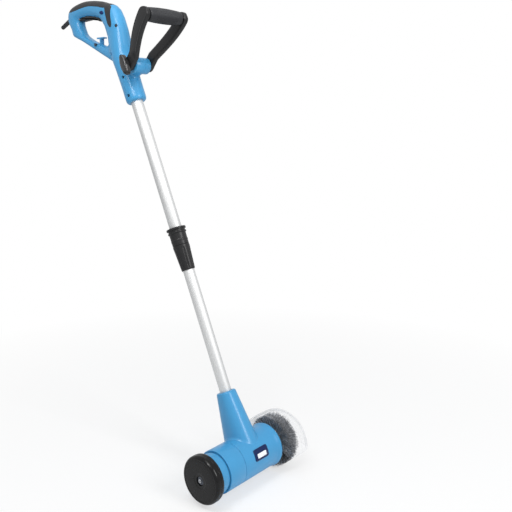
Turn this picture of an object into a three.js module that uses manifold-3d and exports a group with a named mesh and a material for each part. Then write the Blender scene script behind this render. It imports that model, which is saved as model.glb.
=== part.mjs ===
// Electric patio cleaner: a rotating joint brush on a telescopic shaft with a D-handle.
// Millimetres, +Z up. The head's axis is X (guide wheel at +X, brush at -X), the user stands at -Y.
// Every piece is drawn in the shaft's own frame: x along the head's axis, y to the front,
// z up along the shaft, with the head's axis through the frame's origin. One group then leans it.
import * as THREE from 'three';
import { mergeVertices } from 'three/addons/utils/BufferGeometryUtils.js';
import Module from 'manifold-3d';

const wasm = await Module();
wasm.setup();

// Driving dimensions
const shaftLean = 24.9;            // degrees back from upright, towards the user
const fit = 0.3;                   // gap between pieces that touch
const reach = 400;                 // half side of the boxes that halve or clear a solid
const past = 1;                    // how far a cutting piece runs past the face it cuts
const roundSteps = 22;             // facets round a large turned piece
const midSteps = 16;               // facets round a collar, a knob or a plate
const smallSteps = 10;             // facets round a pin, a bore or a screw

const tube = {
  upperRadius: 12, upperWall: 0.7, lowerRadius: 11, lowerWall: 1,
  lowerShown: 236, upperShown: 264, overlap: 150, inHandle: 88, inNeck: 62,
};
const neck = {
  top: 120, foot: 6, steps: 6, sectionSteps: 28, power: 2.3, lip: 3, leadRadius: 7,
  topHalfX: 17, topHalfY: 17.5, footHalfX: 27.5, footInset: 2.6,
};
const housing = {
  radius: 38.5, wall: 3.5, wheelEnd: 39.6, brushEnd: -59, rimStep: 3, rimWidth: 7, rimRound: 3,
  innerFit: 0.4,
};
const housingInner = housing.radius - housing.wall;
const coreRadius = housingInner - housing.innerFit;
const ring = { length: 38.5, gap: 0.3 };
const cap = { radius: housing.radius - 3, length: 19.4, wall: 3, bossRadius: 11, bossLength: 9, round: 2 };
const wheel = {
  radius: 42.5, width: 18, round: 4, rimWall: 5, web: 4, hubRadius: 11, gap: 1.3,
  recessRadius: 8, recessDepth: 3.5, ribs: 5, ribWidth: 2, ribSetback: 2, steps: 22,
};
const axle = { radius: 5, clearance: 0.3, flangeRadius: 8, flangeWidth: 2.5, tapRadius: 2.4, tapDepth: 14 };
const wheelScrew = { washerRadius: 7.3, washer: 1, headRadius: 4.2, head: 2, shank: 2, length: 11, slot: 1.2,
  slotReach: 2.8, slotDepth: 1 };

const gear = {
  sunTeeth: 9, planetTeeth: 15, ringTeeth: 39, planets: 3, addendum: 0.8, dedendum: 1.15,
  rootShare: 0.22, tipShare: 0.13, ringMouthShare: 0.34, ringFloorShare: 0.24, width: 9, pinGap: 0.5,
  ringOuter: coreRadius, ringWall: 7.755, carrierPlate: 3, carrierRadius: 21, pinRadius: 2.4, start: -39,
};
const gearModule = (gear.ringOuter - gear.ringWall) / (gear.ringTeeth / 2 + gear.dedendum);
const cover = { thickness: 4, inset: 2, radius: coreRadius, boreGap: 0.4, hubRadius: 11, hub: 2 };
const spindle = { radius: 6, end: -107 };
const motor = {
  shaftRadius: 4, shaftEnd: 58.6, plateRadius: coreRadius, frontPlate: -29.5, frontPlateWidth: 7.5,
  bearingOuter: 9, bearingWidth: 6.6, fanStart: -26, fanWidth: 7, fanGap: 7.6, fanHub: 9, fanBlades: 7,
  bladeWidth: 1.4, fanDisc: 1.6, coreStart: -15, coreEnd: 25, statorOuter: coreRadius, statorWall: 12.2,
  airGap: 0.8, slots: 12, slotDepth: 4, slotWidth: 2.6,
  commutatorStart: 34, commutatorEnd: 46, commutatorRadius: 11, backPlate: 50, backPlateWidth: 7,
  carbonWidth: 6, carbonLength: 7, carbonHeight: 14, holderWall: 1.6, holderReach: 15.5,
};
const statorInner = motor.statorOuter - motor.statorWall;
const rotorRadius = statorInner - motor.airGap;
const fanRadius = coreRadius - motor.fanGap;
const label = { width: 34, height: 20, middleX: -3.4, thickness: 0.7, panelWidth: 23, panelHeight: 8,
  panelThickness: 0.35, panelDrop: 2.5, steps: 8 };

const brush = {
  radius: 49, start: -77, rings: 4, ringWidth: 4.7, ringGap: 0.3, strandsPerRing: 76, strandRadius: 0.72,
  strandSides: 3, backInner: 19, backOuter: 24.5, rootDepth: 1.2, fan: 1.1, sweep: 0.035, backSteps: 19,
  plateRadius: 24, plateThickness: 1.2, plateDish: 2.4, dishRadius: 14, hubFit: 0.3, boreGap: 0.45,
};
const nut = { flats: 17, thickness: 6, washerRadius: 10, washer: 1.2, gap: 0.3 };
const guard = {
  radius: 61, thickness: 2, drop: 7, seat: 1.5, outer: -119, dome: 14, domeHole: 24,
  from: -26, to: 150, ribs: 2, ribHeight: 1, ribWidth: 2, ribPitch: 14,
  domeSteps: 3,
};

const collar = {
  length: 84, sleeve: 35, flangeRadius: 19, flangeWidth: 4, secondFlangeAt: 8, secondFlangeWidth: 3,
  secondFlangeRadius: 18, radius: 16, nutTop: 16.2, nutEnd: 12.9, nutLip: 3, flutes: 6, fluteRadius: 1.6,
  fluteOut: 0.5, fluteSides: 5, fluteStart: 6, seam: 0.6, colletLength: 30, colletWall: 0.9, colletSlits: 4,
  slitWidth: 1.4, slitStop: 10, thread: 12,
  threadRadius: 14.2,
};

// Handle outlines, [forward, up] from the middle of the handle's lower end
const handle = {
  halfWidth: 18, barHalf: 12.5, gripHalf: 16, bevelDepth: 7, bevelInset: 6, bevelSteps: 2,
  outlineSteps: 27, holeSteps: 14, noseSteps: 14, palmSteps: 12, boltSteps: 6,
  boltRadius: 1.7, boltHead: 3.1, boltHeadDepth: 2,
};
const handleOutline = [
  [-18, 60], [0, 56], [18, 60], [21, 95], [25, 123], [28.5, 148], [28.5, 172], [26, 192], [16.5, 207],
  [4, 219], [-16, 232], [-50, 251], [-80, 261], [-104, 264], [-118, 257], [-124, 242], [-122, 224],
  [-123, 209], [-116, 201], [-97, 181], [-70, 150], [-40, 116], [-26, 96],
];
const handleHole = [
  [-86, 226.5], [-60, 217], [-28, 196], [-16, 180], [-13.5, 156], [-20, 141], [-32, 138.5], [-52, 154.5],
  [-69, 170], [-87, 191], [-91.5, 205], [-92, 219],
];
const noseOutline = [
  [-16, 120], [0, 100], [22, 98], [26, 123], [29.5, 148], [29.5, 172], [27, 192], [17.5, 208], [4, 218],
  [-14, 226], [-22, 216], [-17, 204], [-12, 190], [-13, 150],
];
const palmOutline = [
  [-8, 222], [-16, 231], [-50, 250.5], [-80, 260.5], [-102, 263.5], [-110, 256], [-102, 240], [-88, 234],
  [-60, 223], [-30, 204], [-16, 200],
];
const socket = [
  [0, 0], [16.5, 0], [19.3, 1.4], [20.3, 5], [20.5, 38], [21.5, 73], [23, 98], [22.5, 122], [18, 142],
  [9, 156], [0, 160],
];
const handleBolts = [
  { forward: -55, up: 153, seat: 13, tip: -7 }, { forward: -10, up: 108, seat: 13, tip: -7 },
  { forward: 22, up: 154, seat: 13, tip: -7 }, { forward: 4, up: 51, seat: 16, tip: 12.6 },
  { forward: 3, up: 12, seat: 16, tip: 12.6 },
];
const gripBand = [
  [-130, 262], [-112, 257], [-95, 249.5], [-66, 241], [-39, 231], [-13, 217], [0, 209], [22, 204], [28, 214],
  [4, 240], [-50, 275], [-110, 285],
];
const gripStrip = [[1, 215], [7, 200], [4, 180], [3.5, 166], [8, 157], [14, 161], [17, 178], [22, 198]];
const stripDepth = 3.2;
const cavity = [
  [-8, 100], [8, 100], [18, 130], [21, 165], [14, 192], [0, 205], [-20, 217], [-50, 231], [-88, 240],
  [-98, 235], [-84, 232], [-58, 224], [-27, 202], [-11, 184], [-9.5, 150],
];
const cavityHalf = 11;
const hook = { at: [-49, 156], stem: 14, stemWidth: 5, bar: 23, barThick: 3, tilt: -24, half: 4.5 };
const boss = { forward: 39.3, up: 59, radius: 15.8, from: -14.7, to: 20.7, rootRadius: 14.5, boltBore: 4.4 };

const trigger = {
  outline: [[-90, 235], [-60, 226], [-28, 204], [-24, 194.5], [-27, 190], [-44, 203], [-60, 211.5],
    [-80, 218.5], [-88, 223]],
  half: 7.5, gap: 0.5, pivot: [-84, 227], pinRadius: 1.5, pinHalf: cavityHalf, swing: 6.5, sweeps: 2,
};
const button = { at: [-4, 196.5], halfLong: 5.6, halfShort: 3.3, tilt: -38, proud: 1.5, depth: 7, gap: 0.4 };
const switchBox = { at: [2, 183], length: 18, height: 17, half: cavityHalf - fit };
const capacitor = { at: [5, 150], length: 18, height: 14, half: cavityHalf - fit };
const terminals = { at: [0, 123], length: 14, height: 18, half: cavityHalf - fit };
const boot = { at: [-121, 248.5], length: 38, gap: 0.6, rootRadius: 4.9, tipRadius: 4.3, bore: 3.4,
  flange: 6.2, flangeWidth: 2, collar: 3.2, ribs: 3, ribWidth: 2, ribHeight: 0.5 };

const loop = {
  tilt: 27.5, length: 112, footAt: { right: 27, left: -21 }, topHalf: 47, thickness: 12, footRadius: 11.5,
  topRadius: 13.5, bevel: 2.4, sideSteps: 4, endShares: [0.98, 0.75, 0], straight: 24, gripGap: 1.5,
  coreRadius: 8.5, barrelEnd: 12.8, barrelMiddle: 14.6, barrelSteps: 4, boltBore: 4.3,
};
const clamp = {
  boltRadius: 3.9, knobLong: 21, knobShort: 9, knobDepth: 11, knobHub: 10, knobBevel: 3, gap: 0.4,
  capRadius: 6.5, capDepth: 3,
};

// Derived places
const fullTurn = 360;              // degrees
const degree = 2 * Math.PI / fullTurn;
const quarter = 90 * degree;
const groundDrop = brush.radius;
const collarBottom = neck.top + tube.lowerShown;
const collarTop = collarBottom + collar.length;
const sleeveBottom = collarTop - collar.sleeve;
const handleBottom = collarTop + tube.upperShown;
const upperTubeTop = handleBottom + tube.inHandle;
const upperTubeBottom = sleeveBottom + collar.thread;
const lowerTubeBottom = neck.top - tube.inNeck;
const lowerTubeTop = upperTubeBottom + tube.overlap;
const ringStart = housing.wheelEnd + ring.gap;
const ringEnd = ringStart + ring.length;
const capStart = ringEnd + fit;
const capEnd = capStart + cap.length;
const wheelInner = capEnd + wheel.gap;
const wheelFace = wheelInner + wheel.width;
const recessFloor = wheelFace - wheel.recessDepth;
const axleEnd = recessFloor - fit;
const planetOrbit = gearModule * (gear.sunTeeth + gear.planetTeeth) / 2;
const gearEnd = gear.start - gear.width;
const coverStart = housing.brushEnd + cover.inset;
const brushEnd = brush.start - brush.rings * brush.ringWidth;
const plateOuterEnd = brushEnd - fit - brush.plateThickness - brush.plateDish;
const loopLean = loop.tilt * degree;
const bossUp = handleBottom + boss.up;

// Colours, roughness and metalness
const look = (color, roughness, metalness = 0) => (
  new THREE.MeshStandardMaterial({ color, roughness, metalness }));
const blue = look(0x4ba3df, 0.38);
const blackRubber = look(0x35353a, 0.75);
const blackPlastic = look(0x2b2b2c, 0.45);
const aluminium = look(0xd9dadc, 0.32, 0.9);
const steel = look(0xb4b7ba, 0.35, 1);
const darkSteel = look(0x5d6064, 0.45, 0.9);
const copper = look(0xb4683a, 0.4, 0.9);
const nylon = look(0x3a3d44, 0.6);
const clear = look(0xe6ebee, 0.12);
const navy = look(0x12264a, 0.4);
const white = look(0xf2f3f4, 0.5);
const pale = look(0xc9c7bd, 0.6);

// Geometry helpers
function closedMesh(geometry) {
  const plain = geometry.clone();
  plain.deleteAttribute('normal');
  plain.deleteAttribute('uv');
  const merged = mergeVertices(plain, 1e-4);
  const from = merged.index.array;
  const kept = [];
  for (let i = 0; i < from.length; i += 3) {
    const [a, b, c] = [from[i], from[i + 1], from[i + 2]];
    if (a !== b && b !== c && a !== c) kept.push(a, b, c);
  }
  if (volumeOf(merged.attributes.position, kept) < 0) kept.reverse();
  merged.setIndex(kept);
  return merged;
}

function volumeOf(position, index) {
  const [a, b, c] = [new THREE.Vector3(), new THREE.Vector3(), new THREE.Vector3()];
  let sum = 0;
  for (let i = 0; i < index.length; i += 3) {
    a.fromBufferAttribute(position, index[i]);
    b.fromBufferAttribute(position, index[i + 1]);
    c.fromBufferAttribute(position, index[i + 2]);
    sum += a.dot(b.cross(c));
  }
  return sum;
}

function solid(geometry) {
  const mesh = closedMesh(geometry);
  return new wasm.Manifold(new wasm.Mesh({
    numProp: 3,
    vertProperties: Float32Array.from(mesh.attributes.position.array),
    triVerts: Uint32Array.from(mesh.index.array),
  }));
}

function geometryOf(manifold) {
  const mesh = manifold.getMesh();
  const geometry = new THREE.BufferGeometry();
  geometry.setAttribute('position', new THREE.BufferAttribute(Float32Array.from(mesh.vertProperties), 3));
  geometry.setIndex(new THREE.BufferAttribute(Uint32Array.from(mesh.triVerts), 1));
  return geometry;
}

const join = (first, ...rest) => rest.reduce((sum, next) => sum.add(next), first);
const cut = (first, ...rest) => rest.reduce((sum, next) => sum.subtract(next), first);

// Axis letters: the turned profile's second number runs along x, y or z
const turnTo = {
  x: new THREE.Matrix4().makeRotationZ(-quarter),
  y: new THREE.Matrix4(),
  z: new THREE.Matrix4().makeRotationX(quarter),
};

// A profile of [radius, along] points turned round an axis; a ring's profile closes on itself
function turned(profile, axis, steps = roundSteps) {
  const points = profile.map(([radius, along]) => new THREE.Vector2(radius, along));
  if (profile[0][0] > 0) points.push(points[0].clone());
  return new THREE.LatheGeometry(points, steps).applyMatrix4(turnTo[axis]);
}

function rod(axis, radius, from, to, steps = smallSteps) {
  return turned([[0, from], [radius, from], [radius, to], [0, to]], axis, steps);
}

function sleeve(axis, outer, inner, from, to, steps = roundSteps) {
  return turned([[inner, from], [outer, from], [outer, to], [inner, to]], axis, steps);
}

function shifted(geometry, x, y, z) {
  return geometry.translate(x, y, z);
}

function block(x0, x1, y0, y1, z0, z1) {
  return shifted(new THREE.BoxGeometry(x1 - x0, y1 - y0, z1 - z0), (x0 + x1) / 2, (y0 + y1) / 2, (z0 + z1) / 2);
}

// A closed smooth outline through [u, v] points
function smooth(points, steps, offset = 0) {
  const curve = new THREE.CatmullRomCurve3(
    points.map(([u, v]) => new THREE.Vector3(u, v + offset, 0)), true, 'centripetal');
  return curve.getSpacedPoints(steps).slice(0, steps).map((p) => new THREE.Vector2(p.x, p.y));
}

// An outline in the [forward, up] plane, pushed out to both sides of x = 0
const sideways = new THREE.Matrix4().makeBasis(
  new THREE.Vector3(0, 1, 0), new THREE.Vector3(0, 0, 1), new THREE.Vector3(1, 0, 0));

function sidePlate(outline, from, to, options = {}) {
  const shape = new THREE.Shape(outline);
  if (options.hole) shape.holes.push(new THREE.Path(options.hole));
  const depth = options.bevelDepth ?? 0;
  const geometry = new THREE.ExtrudeGeometry(shape, {
    depth: to - from - 2 * depth,
    bevelEnabled: depth > 0,
    bevelThickness: depth,
    bevelSize: options.bevelInset ?? depth,
    bevelOffset: -(options.bevelInset ?? depth),
    bevelSegments: options.bevelSteps ?? 2,
    curveSegments: smallSteps,
  });
  return shifted(geometry, 0, 0, from + depth).applyMatrix4(sideways);
}

// The same outline with every edge moved outwards
function grown(outline, distance) {
  const side = THREE.ShapeUtils.isClockWise(outline) ? -distance : distance;
  const normal = (a, b) => new THREE.Vector2(b.y - a.y, a.x - b.x).normalize();
  return outline.map((point, i) => {
    const both = normal(outline.at(i - 1), point).add(normal(point, outline[(i + 1) % outline.length]));
    return point.clone().addScaledVector(both, 2 * side / both.lengthSq());
  });
}

function polygon(points, offset = 0) {
  return points.map(([u, v]) => new THREE.Vector2(u, v + offset));
}

function ellipse(u, v, halfU, halfV, steps = smallSteps) {
  return Array.from({ length: steps }, (_, i) => {
    const angle = 2 * Math.PI * i / steps;
    return new THREE.Vector2(u + halfU * Math.cos(angle), v + halfV * Math.sin(angle));
  });
}

// A skin over closed sections of equally many points, closed by a fan at each end
function loft(sections) {
  const around = sections[0].length;
  const middle = (section) => section.reduce((sum, p) => sum.add(p), new THREE.Vector3()).divideScalar(around);
  const points = [...sections.flat(), middle(sections[0]), middle(sections.at(-1))];
  const index = [];
  const low = sections.length * around;
  for (let i = 0; i < around; i += 1) {
    const j = (i + 1) % around;
    for (let k = 0; k + 1 < sections.length; k += 1) {
      const [a, b] = [k * around, (k + 1) * around];
      index.push(a + i, a + j, b + j, a + i, b + j, b + i);
    }
    const last = (sections.length - 1) * around;
    index.push(low, j, i, low + 1, last + i, last + j);
  }
  return new THREE.BufferGeometry().setFromPoints(points).setIndex(index);
}

function rightHalf(manifold, gap = fit / 2) {
  return manifold.intersect(solid(block(gap, reach, -reach, reach, -reach, 4 * reach)));
}

function leftHalf(manifold, gap = fit / 2) {
  return manifold.intersect(solid(block(-reach, -gap, -reach, reach, -reach, 4 * reach)));
}

const machine = new THREE.Group();
machine.rotation.x = shaftLean * degree;
machine.position.z = groundDrop;

function add(name, piece, material, parent = machine) {
  const geometry = piece.isBufferGeometry ? closedMesh(piece) : geometryOf(piece);
  const mesh = new THREE.Mesh(geometry, material);
  mesh.name = name;
  parent.add(mesh);
  return mesh;
}

// Shaft: two aluminium tubes that slide in each other, and the twist lock between them
function addTubes() {
  add('upper_tube', sleeve('z', tube.upperRadius, tube.upperRadius - tube.upperWall,
    upperTubeBottom, upperTubeTop, midSteps), aluminium);
  add('lower_tube', sleeve('z', tube.lowerRadius, tube.lowerRadius - tube.lowerWall,
    lowerTubeBottom, lowerTubeTop, midSteps), aluminium);
}

function addCollar() {
  const { radius, flangeRadius, flangeWidth, secondFlangeRadius: secondRadius } = collar;
  const secondTop = collarTop - collar.secondFlangeAt;
  const secondBottom = secondTop - collar.secondFlangeWidth;
  const bore = tube.upperRadius + fit;
  const threadBottom = sleeveBottom - collar.thread;
  const lowerBore = tube.lowerRadius + fit;
  const body = solid(turned([
    [bore, collarTop], [bore, upperTubeBottom - fit],
    [lowerBore + collar.colletWall + fit, upperTubeBottom - fit],
    [lowerBore + collar.colletWall + fit, threadBottom], [collar.threadRadius, threadBottom],
    [collar.threadRadius, sleeveBottom + collar.seam], [radius, sleeveBottom + collar.seam],
    [radius, secondBottom], [secondRadius, secondBottom], [secondRadius, secondTop], [radius, secondTop],
    [radius, collarTop - flangeWidth], [flangeRadius, collarTop - flangeWidth], [flangeRadius, collarTop],
  ], 'z', midSteps));
  add('collar_sleeve', body, blackPlastic);

  const colletTop = upperTubeBottom - 2 * fit;
  const colletBottom = colletTop - collar.colletLength;
  const nutTopZ = sleeveBottom;
  const taper = (z) => THREE.MathUtils.mapLinear(z, collarBottom, nutTopZ, collar.nutEnd, collar.nutTop);
  let nutBody = solid(turned([
    [collar.threadRadius + fit, nutTopZ], [collar.threadRadius + fit, threadBottom - fit],
    [lowerBore + collar.colletWall + fit, threadBottom - fit],
    [lowerBore + collar.colletWall + fit, colletBottom - 2 * fit], [lowerBore, collarBottom + collar.nutLip],
    [lowerBore, collarBottom],
    [collar.nutEnd, collarBottom], [taper(collarBottom + collar.nutLip), collarBottom + collar.nutLip],
    [collar.nutTop, nutTopZ],
  ], 'z', midSteps));
  for (let i = 0; i < collar.flutes; i += 1) {
    const angle = 2 * Math.PI * i / collar.flutes;
    const [low, high] = [collarBottom, nutTopZ - collar.fluteStart];
    const place = (z) => new THREE.Vector3(
      (taper(z) + collar.fluteOut) * Math.cos(angle), (taper(z) + collar.fluteOut) * Math.sin(angle), z);
    const path = new THREE.LineCurve3(place(low - collar.nutLip), place(high));
    const round = new THREE.Shape(ellipse(0, 0, collar.fluteRadius, collar.fluteRadius, collar.fluteSides));
    const flute = new THREE.ExtrudeGeometry(round, { steps: 1, bevelEnabled: false, extrudePath: path });
    nutBody = cut(nutBody, solid(flute));
  }
  add('collar_nut', nutBody, blackPlastic);

  let collet = solid(sleeve('z', lowerBore + collar.colletWall, lowerBore, colletBottom, colletTop, midSteps));
  for (let i = 0; i < collar.colletSlits; i += 1) {
    const slit = block(0, 2 * radius, -collar.slitWidth / 2, collar.slitWidth / 2, colletBottom - past,
      colletTop - collar.slitStop);
    collet = cut(collet, solid(slit.rotateZ(2 * Math.PI * i / collar.colletSlits)));
  }
  add('shaft_collet', collet, pale);
}

// Head: two housing halves with the neck, the ring, the cap and the label
function neckSection(z) {
  const share = (neck.top - z) / (neck.top - neck.foot);
  const halfX = THREE.MathUtils.lerp(neck.topHalfX, neck.footHalfX, share);
  const halfY = THREE.MathUtils.lerp(neck.topHalfY, housing.radius - neck.footInset, share);
  const over = Math.max(0, z - (neck.top - neck.lip));
  const inset = neck.lip - Math.sqrt(Math.max(0, neck.lip ** 2 - over ** 2));
  const bent = (value) => Math.sign(value) * Math.abs(value) ** (2 / neck.power);
  return Array.from({ length: neck.sectionSteps }, (_, i) => {
    const angle = 2 * Math.PI * i / neck.sectionSteps;
    const [x, y] = [(halfX - inset) * bent(Math.cos(angle)), (halfY - inset) * bent(Math.sin(angle))];
    return new THREE.Vector3(x, y, z);
  });
}

function neckBody() {
  const levels = [];
  for (let i = 0; i <= neck.steps; i += 1) {
    levels.push(THREE.MathUtils.lerp(neck.foot, neck.top - neck.lip, i / neck.steps));
  }
  levels.push(neck.top - neck.lip / 3, neck.top);
  return solid(loft(levels.map(neckSection)));
}

function housingShell() {
  const { radius, rimStep, rimWidth, rimRound, wheelEnd, brushEnd: end } = housing;
  const rimRadius = radius + rimStep;
  const outer = solid(turned([
    [0, wheelEnd], [radius, wheelEnd], [radius, end + rimWidth + rimRound], [rimRadius, end + rimWidth],
    [rimRadius, end + rimRound], [rimRadius - rimRound / 3, end + rimRound / 3], [rimRadius - rimRound, end],
    [0, end],
  ], 'x'));
  const inside = solid(rod('x', housingInner, end - past, wheelEnd + past, roundSteps));
  const tubeBore = solid(rod('z', tube.lowerRadius + fit, lowerTubeBottom - fit, neck.top + past, midSteps));
  const leadBore = solid(rod('z', neck.leadRadius, 0, lowerTubeBottom));
  return cut(join(outer, neckBody()), inside, tubeBore, leadBore);
}

function addHousing() {
  const shell = housingShell();
  const front = shell.intersect(solid(block(-reach, reach, fit / 2, reach, -reach, reach)));
  const rear = shell.intersect(solid(block(-reach, reach, -reach, -fit / 2, -reach, reach)));
  add('motor_housing_front', front, blue);
  add('motor_housing_rear', rear, blue);

  add('motor_ring', sleeve('x', housing.radius, housingInner, ringStart, ringEnd), blue);
  const capShell = cut(
    solid(turned([
      [0, capStart], [cap.radius, capStart], [cap.radius, capEnd - cap.round],
      [cap.radius - cap.round, capEnd], [0, capEnd],
    ], 'x')),
    solid(rod('x', cap.radius - cap.wall, capStart - past, capEnd - cap.wall, roundSteps)));
  const capBoss = solid(rod('x', cap.bossRadius, capEnd - cap.wall - cap.bossLength, capEnd - past, midSteps));
  const axleBore = solid(rod('x', axle.radius + fit, capStart - past, capEnd + past));
  add('end_cap', cut(join(capShell, capBoss), axleBore), blue);
}

function addLabel() {
  const patch = (radius, thickness, width, height, middleX, middle) => {
    const sweep = height / radius / 2;
    const profile = [];
    for (let i = 0; i <= label.steps; i += 1) {
      const angle = middle + THREE.MathUtils.lerp(-sweep, sweep, i / label.steps);
      profile.push([angle, radius]);
    }
    const inner = profile.map(([angle, r]) => new THREE.Vector2(r * Math.cos(angle), r * Math.sin(angle)));
    const outer = profile.map(([angle, r]) => new THREE.Vector2(
      (r + thickness) * Math.cos(angle), (r + thickness) * Math.sin(angle))).reverse();
    return sidePlate([...inner, ...outer], middleX - width / 2, middleX + width / 2);
  };
  const plateRadius = housing.radius + fit;
  add('label_plate', patch(plateRadius, label.thickness, label.width, label.height, label.middleX, 0), navy);
  add('label_panel', patch(plateRadius + label.thickness + fit, label.panelThickness, label.panelWidth,
    label.panelHeight, label.middleX, -label.panelDrop / plateRadius), white);
}

// Guide wheel on its stub axle
function addWheel() {
  const { radius, round, hubRadius, rimWall, web, recessRadius } = wheel;
  const inside = radius - rimWall;
  let body = solid(turned([
    [axle.radius + axle.clearance, wheelInner], [hubRadius, wheelInner], [hubRadius, wheelFace - web],
    [inside, wheelFace - web], [inside, wheelInner], [radius - round / 2, wheelInner],
    [radius, wheelInner + round / 2], [radius, wheelFace - round], [radius - round / 3, wheelFace - round / 3],
    [radius - round, wheelFace], [recessRadius, wheelFace], [recessRadius, recessFloor],
    [axle.radius + axle.clearance, recessFloor],
  ], 'x', wheel.steps));
  for (let i = 0; i < wheel.ribs; i += 1) {
    const rib = block(wheelInner + wheel.ribSetback, wheelFace - web / 2, hubRadius - past, inside + past,
      -wheel.ribWidth / 2, wheel.ribWidth / 2);
    body = join(body, solid(rib.rotateX(2 * Math.PI * i / wheel.ribs)));
  }
  add('guide_wheel', body, blackPlastic);

  const flangeEnd = capEnd - cap.wall - cap.bossLength - fit;
  const pin = join(
    solid(rod('x', axle.radius, flangeEnd - past, axleEnd)),
    solid(rod('x', axle.flangeRadius, flangeEnd - axle.flangeWidth, flangeEnd)));
  add('wheel_axle', cut(pin, solid(rod('x', axle.tapRadius, axleEnd - axle.tapDepth, axleEnd + past))), steel);

  const seat = recessFloor + fit;
  const headEnd = seat + wheelScrew.washer + wheelScrew.head;
  const screw = join(
    solid(rod('x', wheelScrew.washerRadius, seat, seat + wheelScrew.washer, midSteps)),
    solid(rod('x', wheelScrew.headRadius, seat, headEnd)),
    solid(rod('x', wheelScrew.shank, seat - wheelScrew.length, seat + past)));
  const arm = wheelScrew.slotReach;
  const half = wheelScrew.slot / 2;
  const slotFloor = headEnd - wheelScrew.slotDepth;
  const slots = [block(slotFloor, headEnd + past, -arm, arm, -half, half),
    block(slotFloor, headEnd + past, -half, half, -arm, arm)];
  add('wheel_screw', cut(screw, ...slots.map(solid)), steel);
}

// Motor inside the housing and the ring, all round the head's axis
// Teeth as straight-sided blocks; the shares are half widths in tooth pitches
function gearOutline(teeth, tipRadius, rootRadius, phase, rootShare = gear.rootShare, tipShare = gear.tipShare) {
  const points = [];
  for (let i = 0; i < teeth; i += 1) {
    for (const [share, radius] of [[-rootShare, rootRadius], [-tipShare, tipRadius],
      [tipShare, tipRadius], [rootShare, rootRadius]]) {
      const angle = phase + 2 * Math.PI * (i + share) / teeth;
      points.push(new THREE.Vector2(radius * Math.cos(angle), radius * Math.sin(angle)));
    }
  }
  return points;
}

const pitchRadius = (teeth) => gearModule * teeth / 2;
const tipOf = (teeth) => pitchRadius(teeth) + gear.addendum * gearModule;
const rootOf = (teeth) => pitchRadius(teeth) - gear.dedendum * gearModule;

function addMotor() {
  const m = motor;
  const shaftBore = m.shaftRadius + fit;
  const sun = sidePlate(gearOutline(gear.sunTeeth, tipOf(gear.sunTeeth), rootOf(gear.sunTeeth), 0),
    gearEnd + fit, gear.start + past);
  const shaft = solid(rod('x', m.shaftRadius, gear.start + fit, m.shaftEnd));
  add('motor_shaft', join(shaft, solid(sun)), darkSteel);

  const plateBore = solid(rod('x', m.bearingOuter + fit, -reach, reach, roundSteps));
  const frontPlate = solid(rod('x', m.plateRadius, m.frontPlate - m.frontPlateWidth, m.frontPlate, roundSteps));
  add('gearbox_plate', cut(frontPlate, plateBore), aluminium);
  add('front_bearing', sleeve('x', m.bearingOuter, shaftBore, m.frontPlate - m.frontPlateWidth + fit,
    m.frontPlate - m.frontPlateWidth + fit + m.bearingWidth, smallSteps), steel);

  let fan = join(
    solid(rod('x', fanRadius, m.fanStart, m.fanStart + m.fanDisc, midSteps)),
    solid(rod('x', m.fanHub, m.fanStart, m.fanStart + m.fanWidth)));
  for (let i = 0; i < m.fanBlades; i += 1) {
    const blade = block(m.fanStart + m.fanDisc / 2, m.fanStart + m.fanWidth, m.fanHub - past, fanRadius - past,
      -m.bladeWidth / 2, m.bladeWidth / 2);
    fan = join(fan, solid(blade.rotateX(2 * Math.PI * i / m.fanBlades)));
  }
  const through = solid(rod('x', shaftBore, -reach, reach));
  add('cooling_fan', cut(fan, through), pale);

  add('stator', sleeve('x', m.statorOuter, statorInner, m.coreStart, m.coreEnd), darkSteel);
  let core = solid(rod('x', rotorRadius, m.coreStart, m.coreEnd, roundSteps));
  for (let i = 0; i < m.slots; i += 1) {
    const slot = block(m.coreStart - past, m.coreEnd + past, rotorRadius - m.slotDepth, rotorRadius + past,
      -m.slotWidth / 2, m.slotWidth / 2);
    core = cut(core, solid(slot.rotateX(2 * Math.PI * i / m.slots)));
  }
  add('rotor_core', cut(core, through), steel);
  const bars = sleeve('x', m.commutatorRadius, shaftBore, m.commutatorStart, m.commutatorEnd, midSteps);
  add('commutator', bars, copper);

  const holderX = (m.commutatorStart + m.commutatorEnd) / 2;
  const carbonFoot = m.commutatorRadius + fit;
  const disc = rod('x', m.plateRadius, m.backPlate, m.backPlate + m.backPlateWidth, roundSteps);
  let plate = cut(solid(disc), plateBore);
  for (const side of [1, -1]) {
    const outer = block(holderX - m.carbonLength / 2 - fit - m.holderWall, m.backPlate + past,
      -m.carbonWidth / 2 - fit - m.holderWall, m.carbonWidth / 2 + fit + m.holderWall,
      carbonFoot + past, carbonFoot + m.holderReach);
    const inner = block(holderX - m.carbonLength / 2 - fit, holderX + m.carbonLength / 2 + fit,
      -m.carbonWidth / 2 - fit, m.carbonWidth / 2 + fit, carbonFoot, carbonFoot + m.holderReach + past);
    const turn = side > 0 ? 0 : Math.PI;
    plate = cut(join(plate, solid(outer.rotateX(turn))), solid(inner.rotateX(turn)));
    const carbon = block(holderX - m.carbonLength / 2, holderX + m.carbonLength / 2,
      -m.carbonWidth / 2, m.carbonWidth / 2, carbonFoot, carbonFoot + m.carbonHeight);
    add(side > 0 ? 'carbon_brush_upper' : 'carbon_brush_lower', carbon.rotateX(turn), darkSteel);
  }
  add('brush_holder_plate', plate, aluminium);
  add('rear_bearing', sleeve('x', m.bearingOuter, shaftBore, m.backPlate + fit,
    m.backPlate + fit + m.bearingWidth, smallSteps), steel);
}

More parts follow.
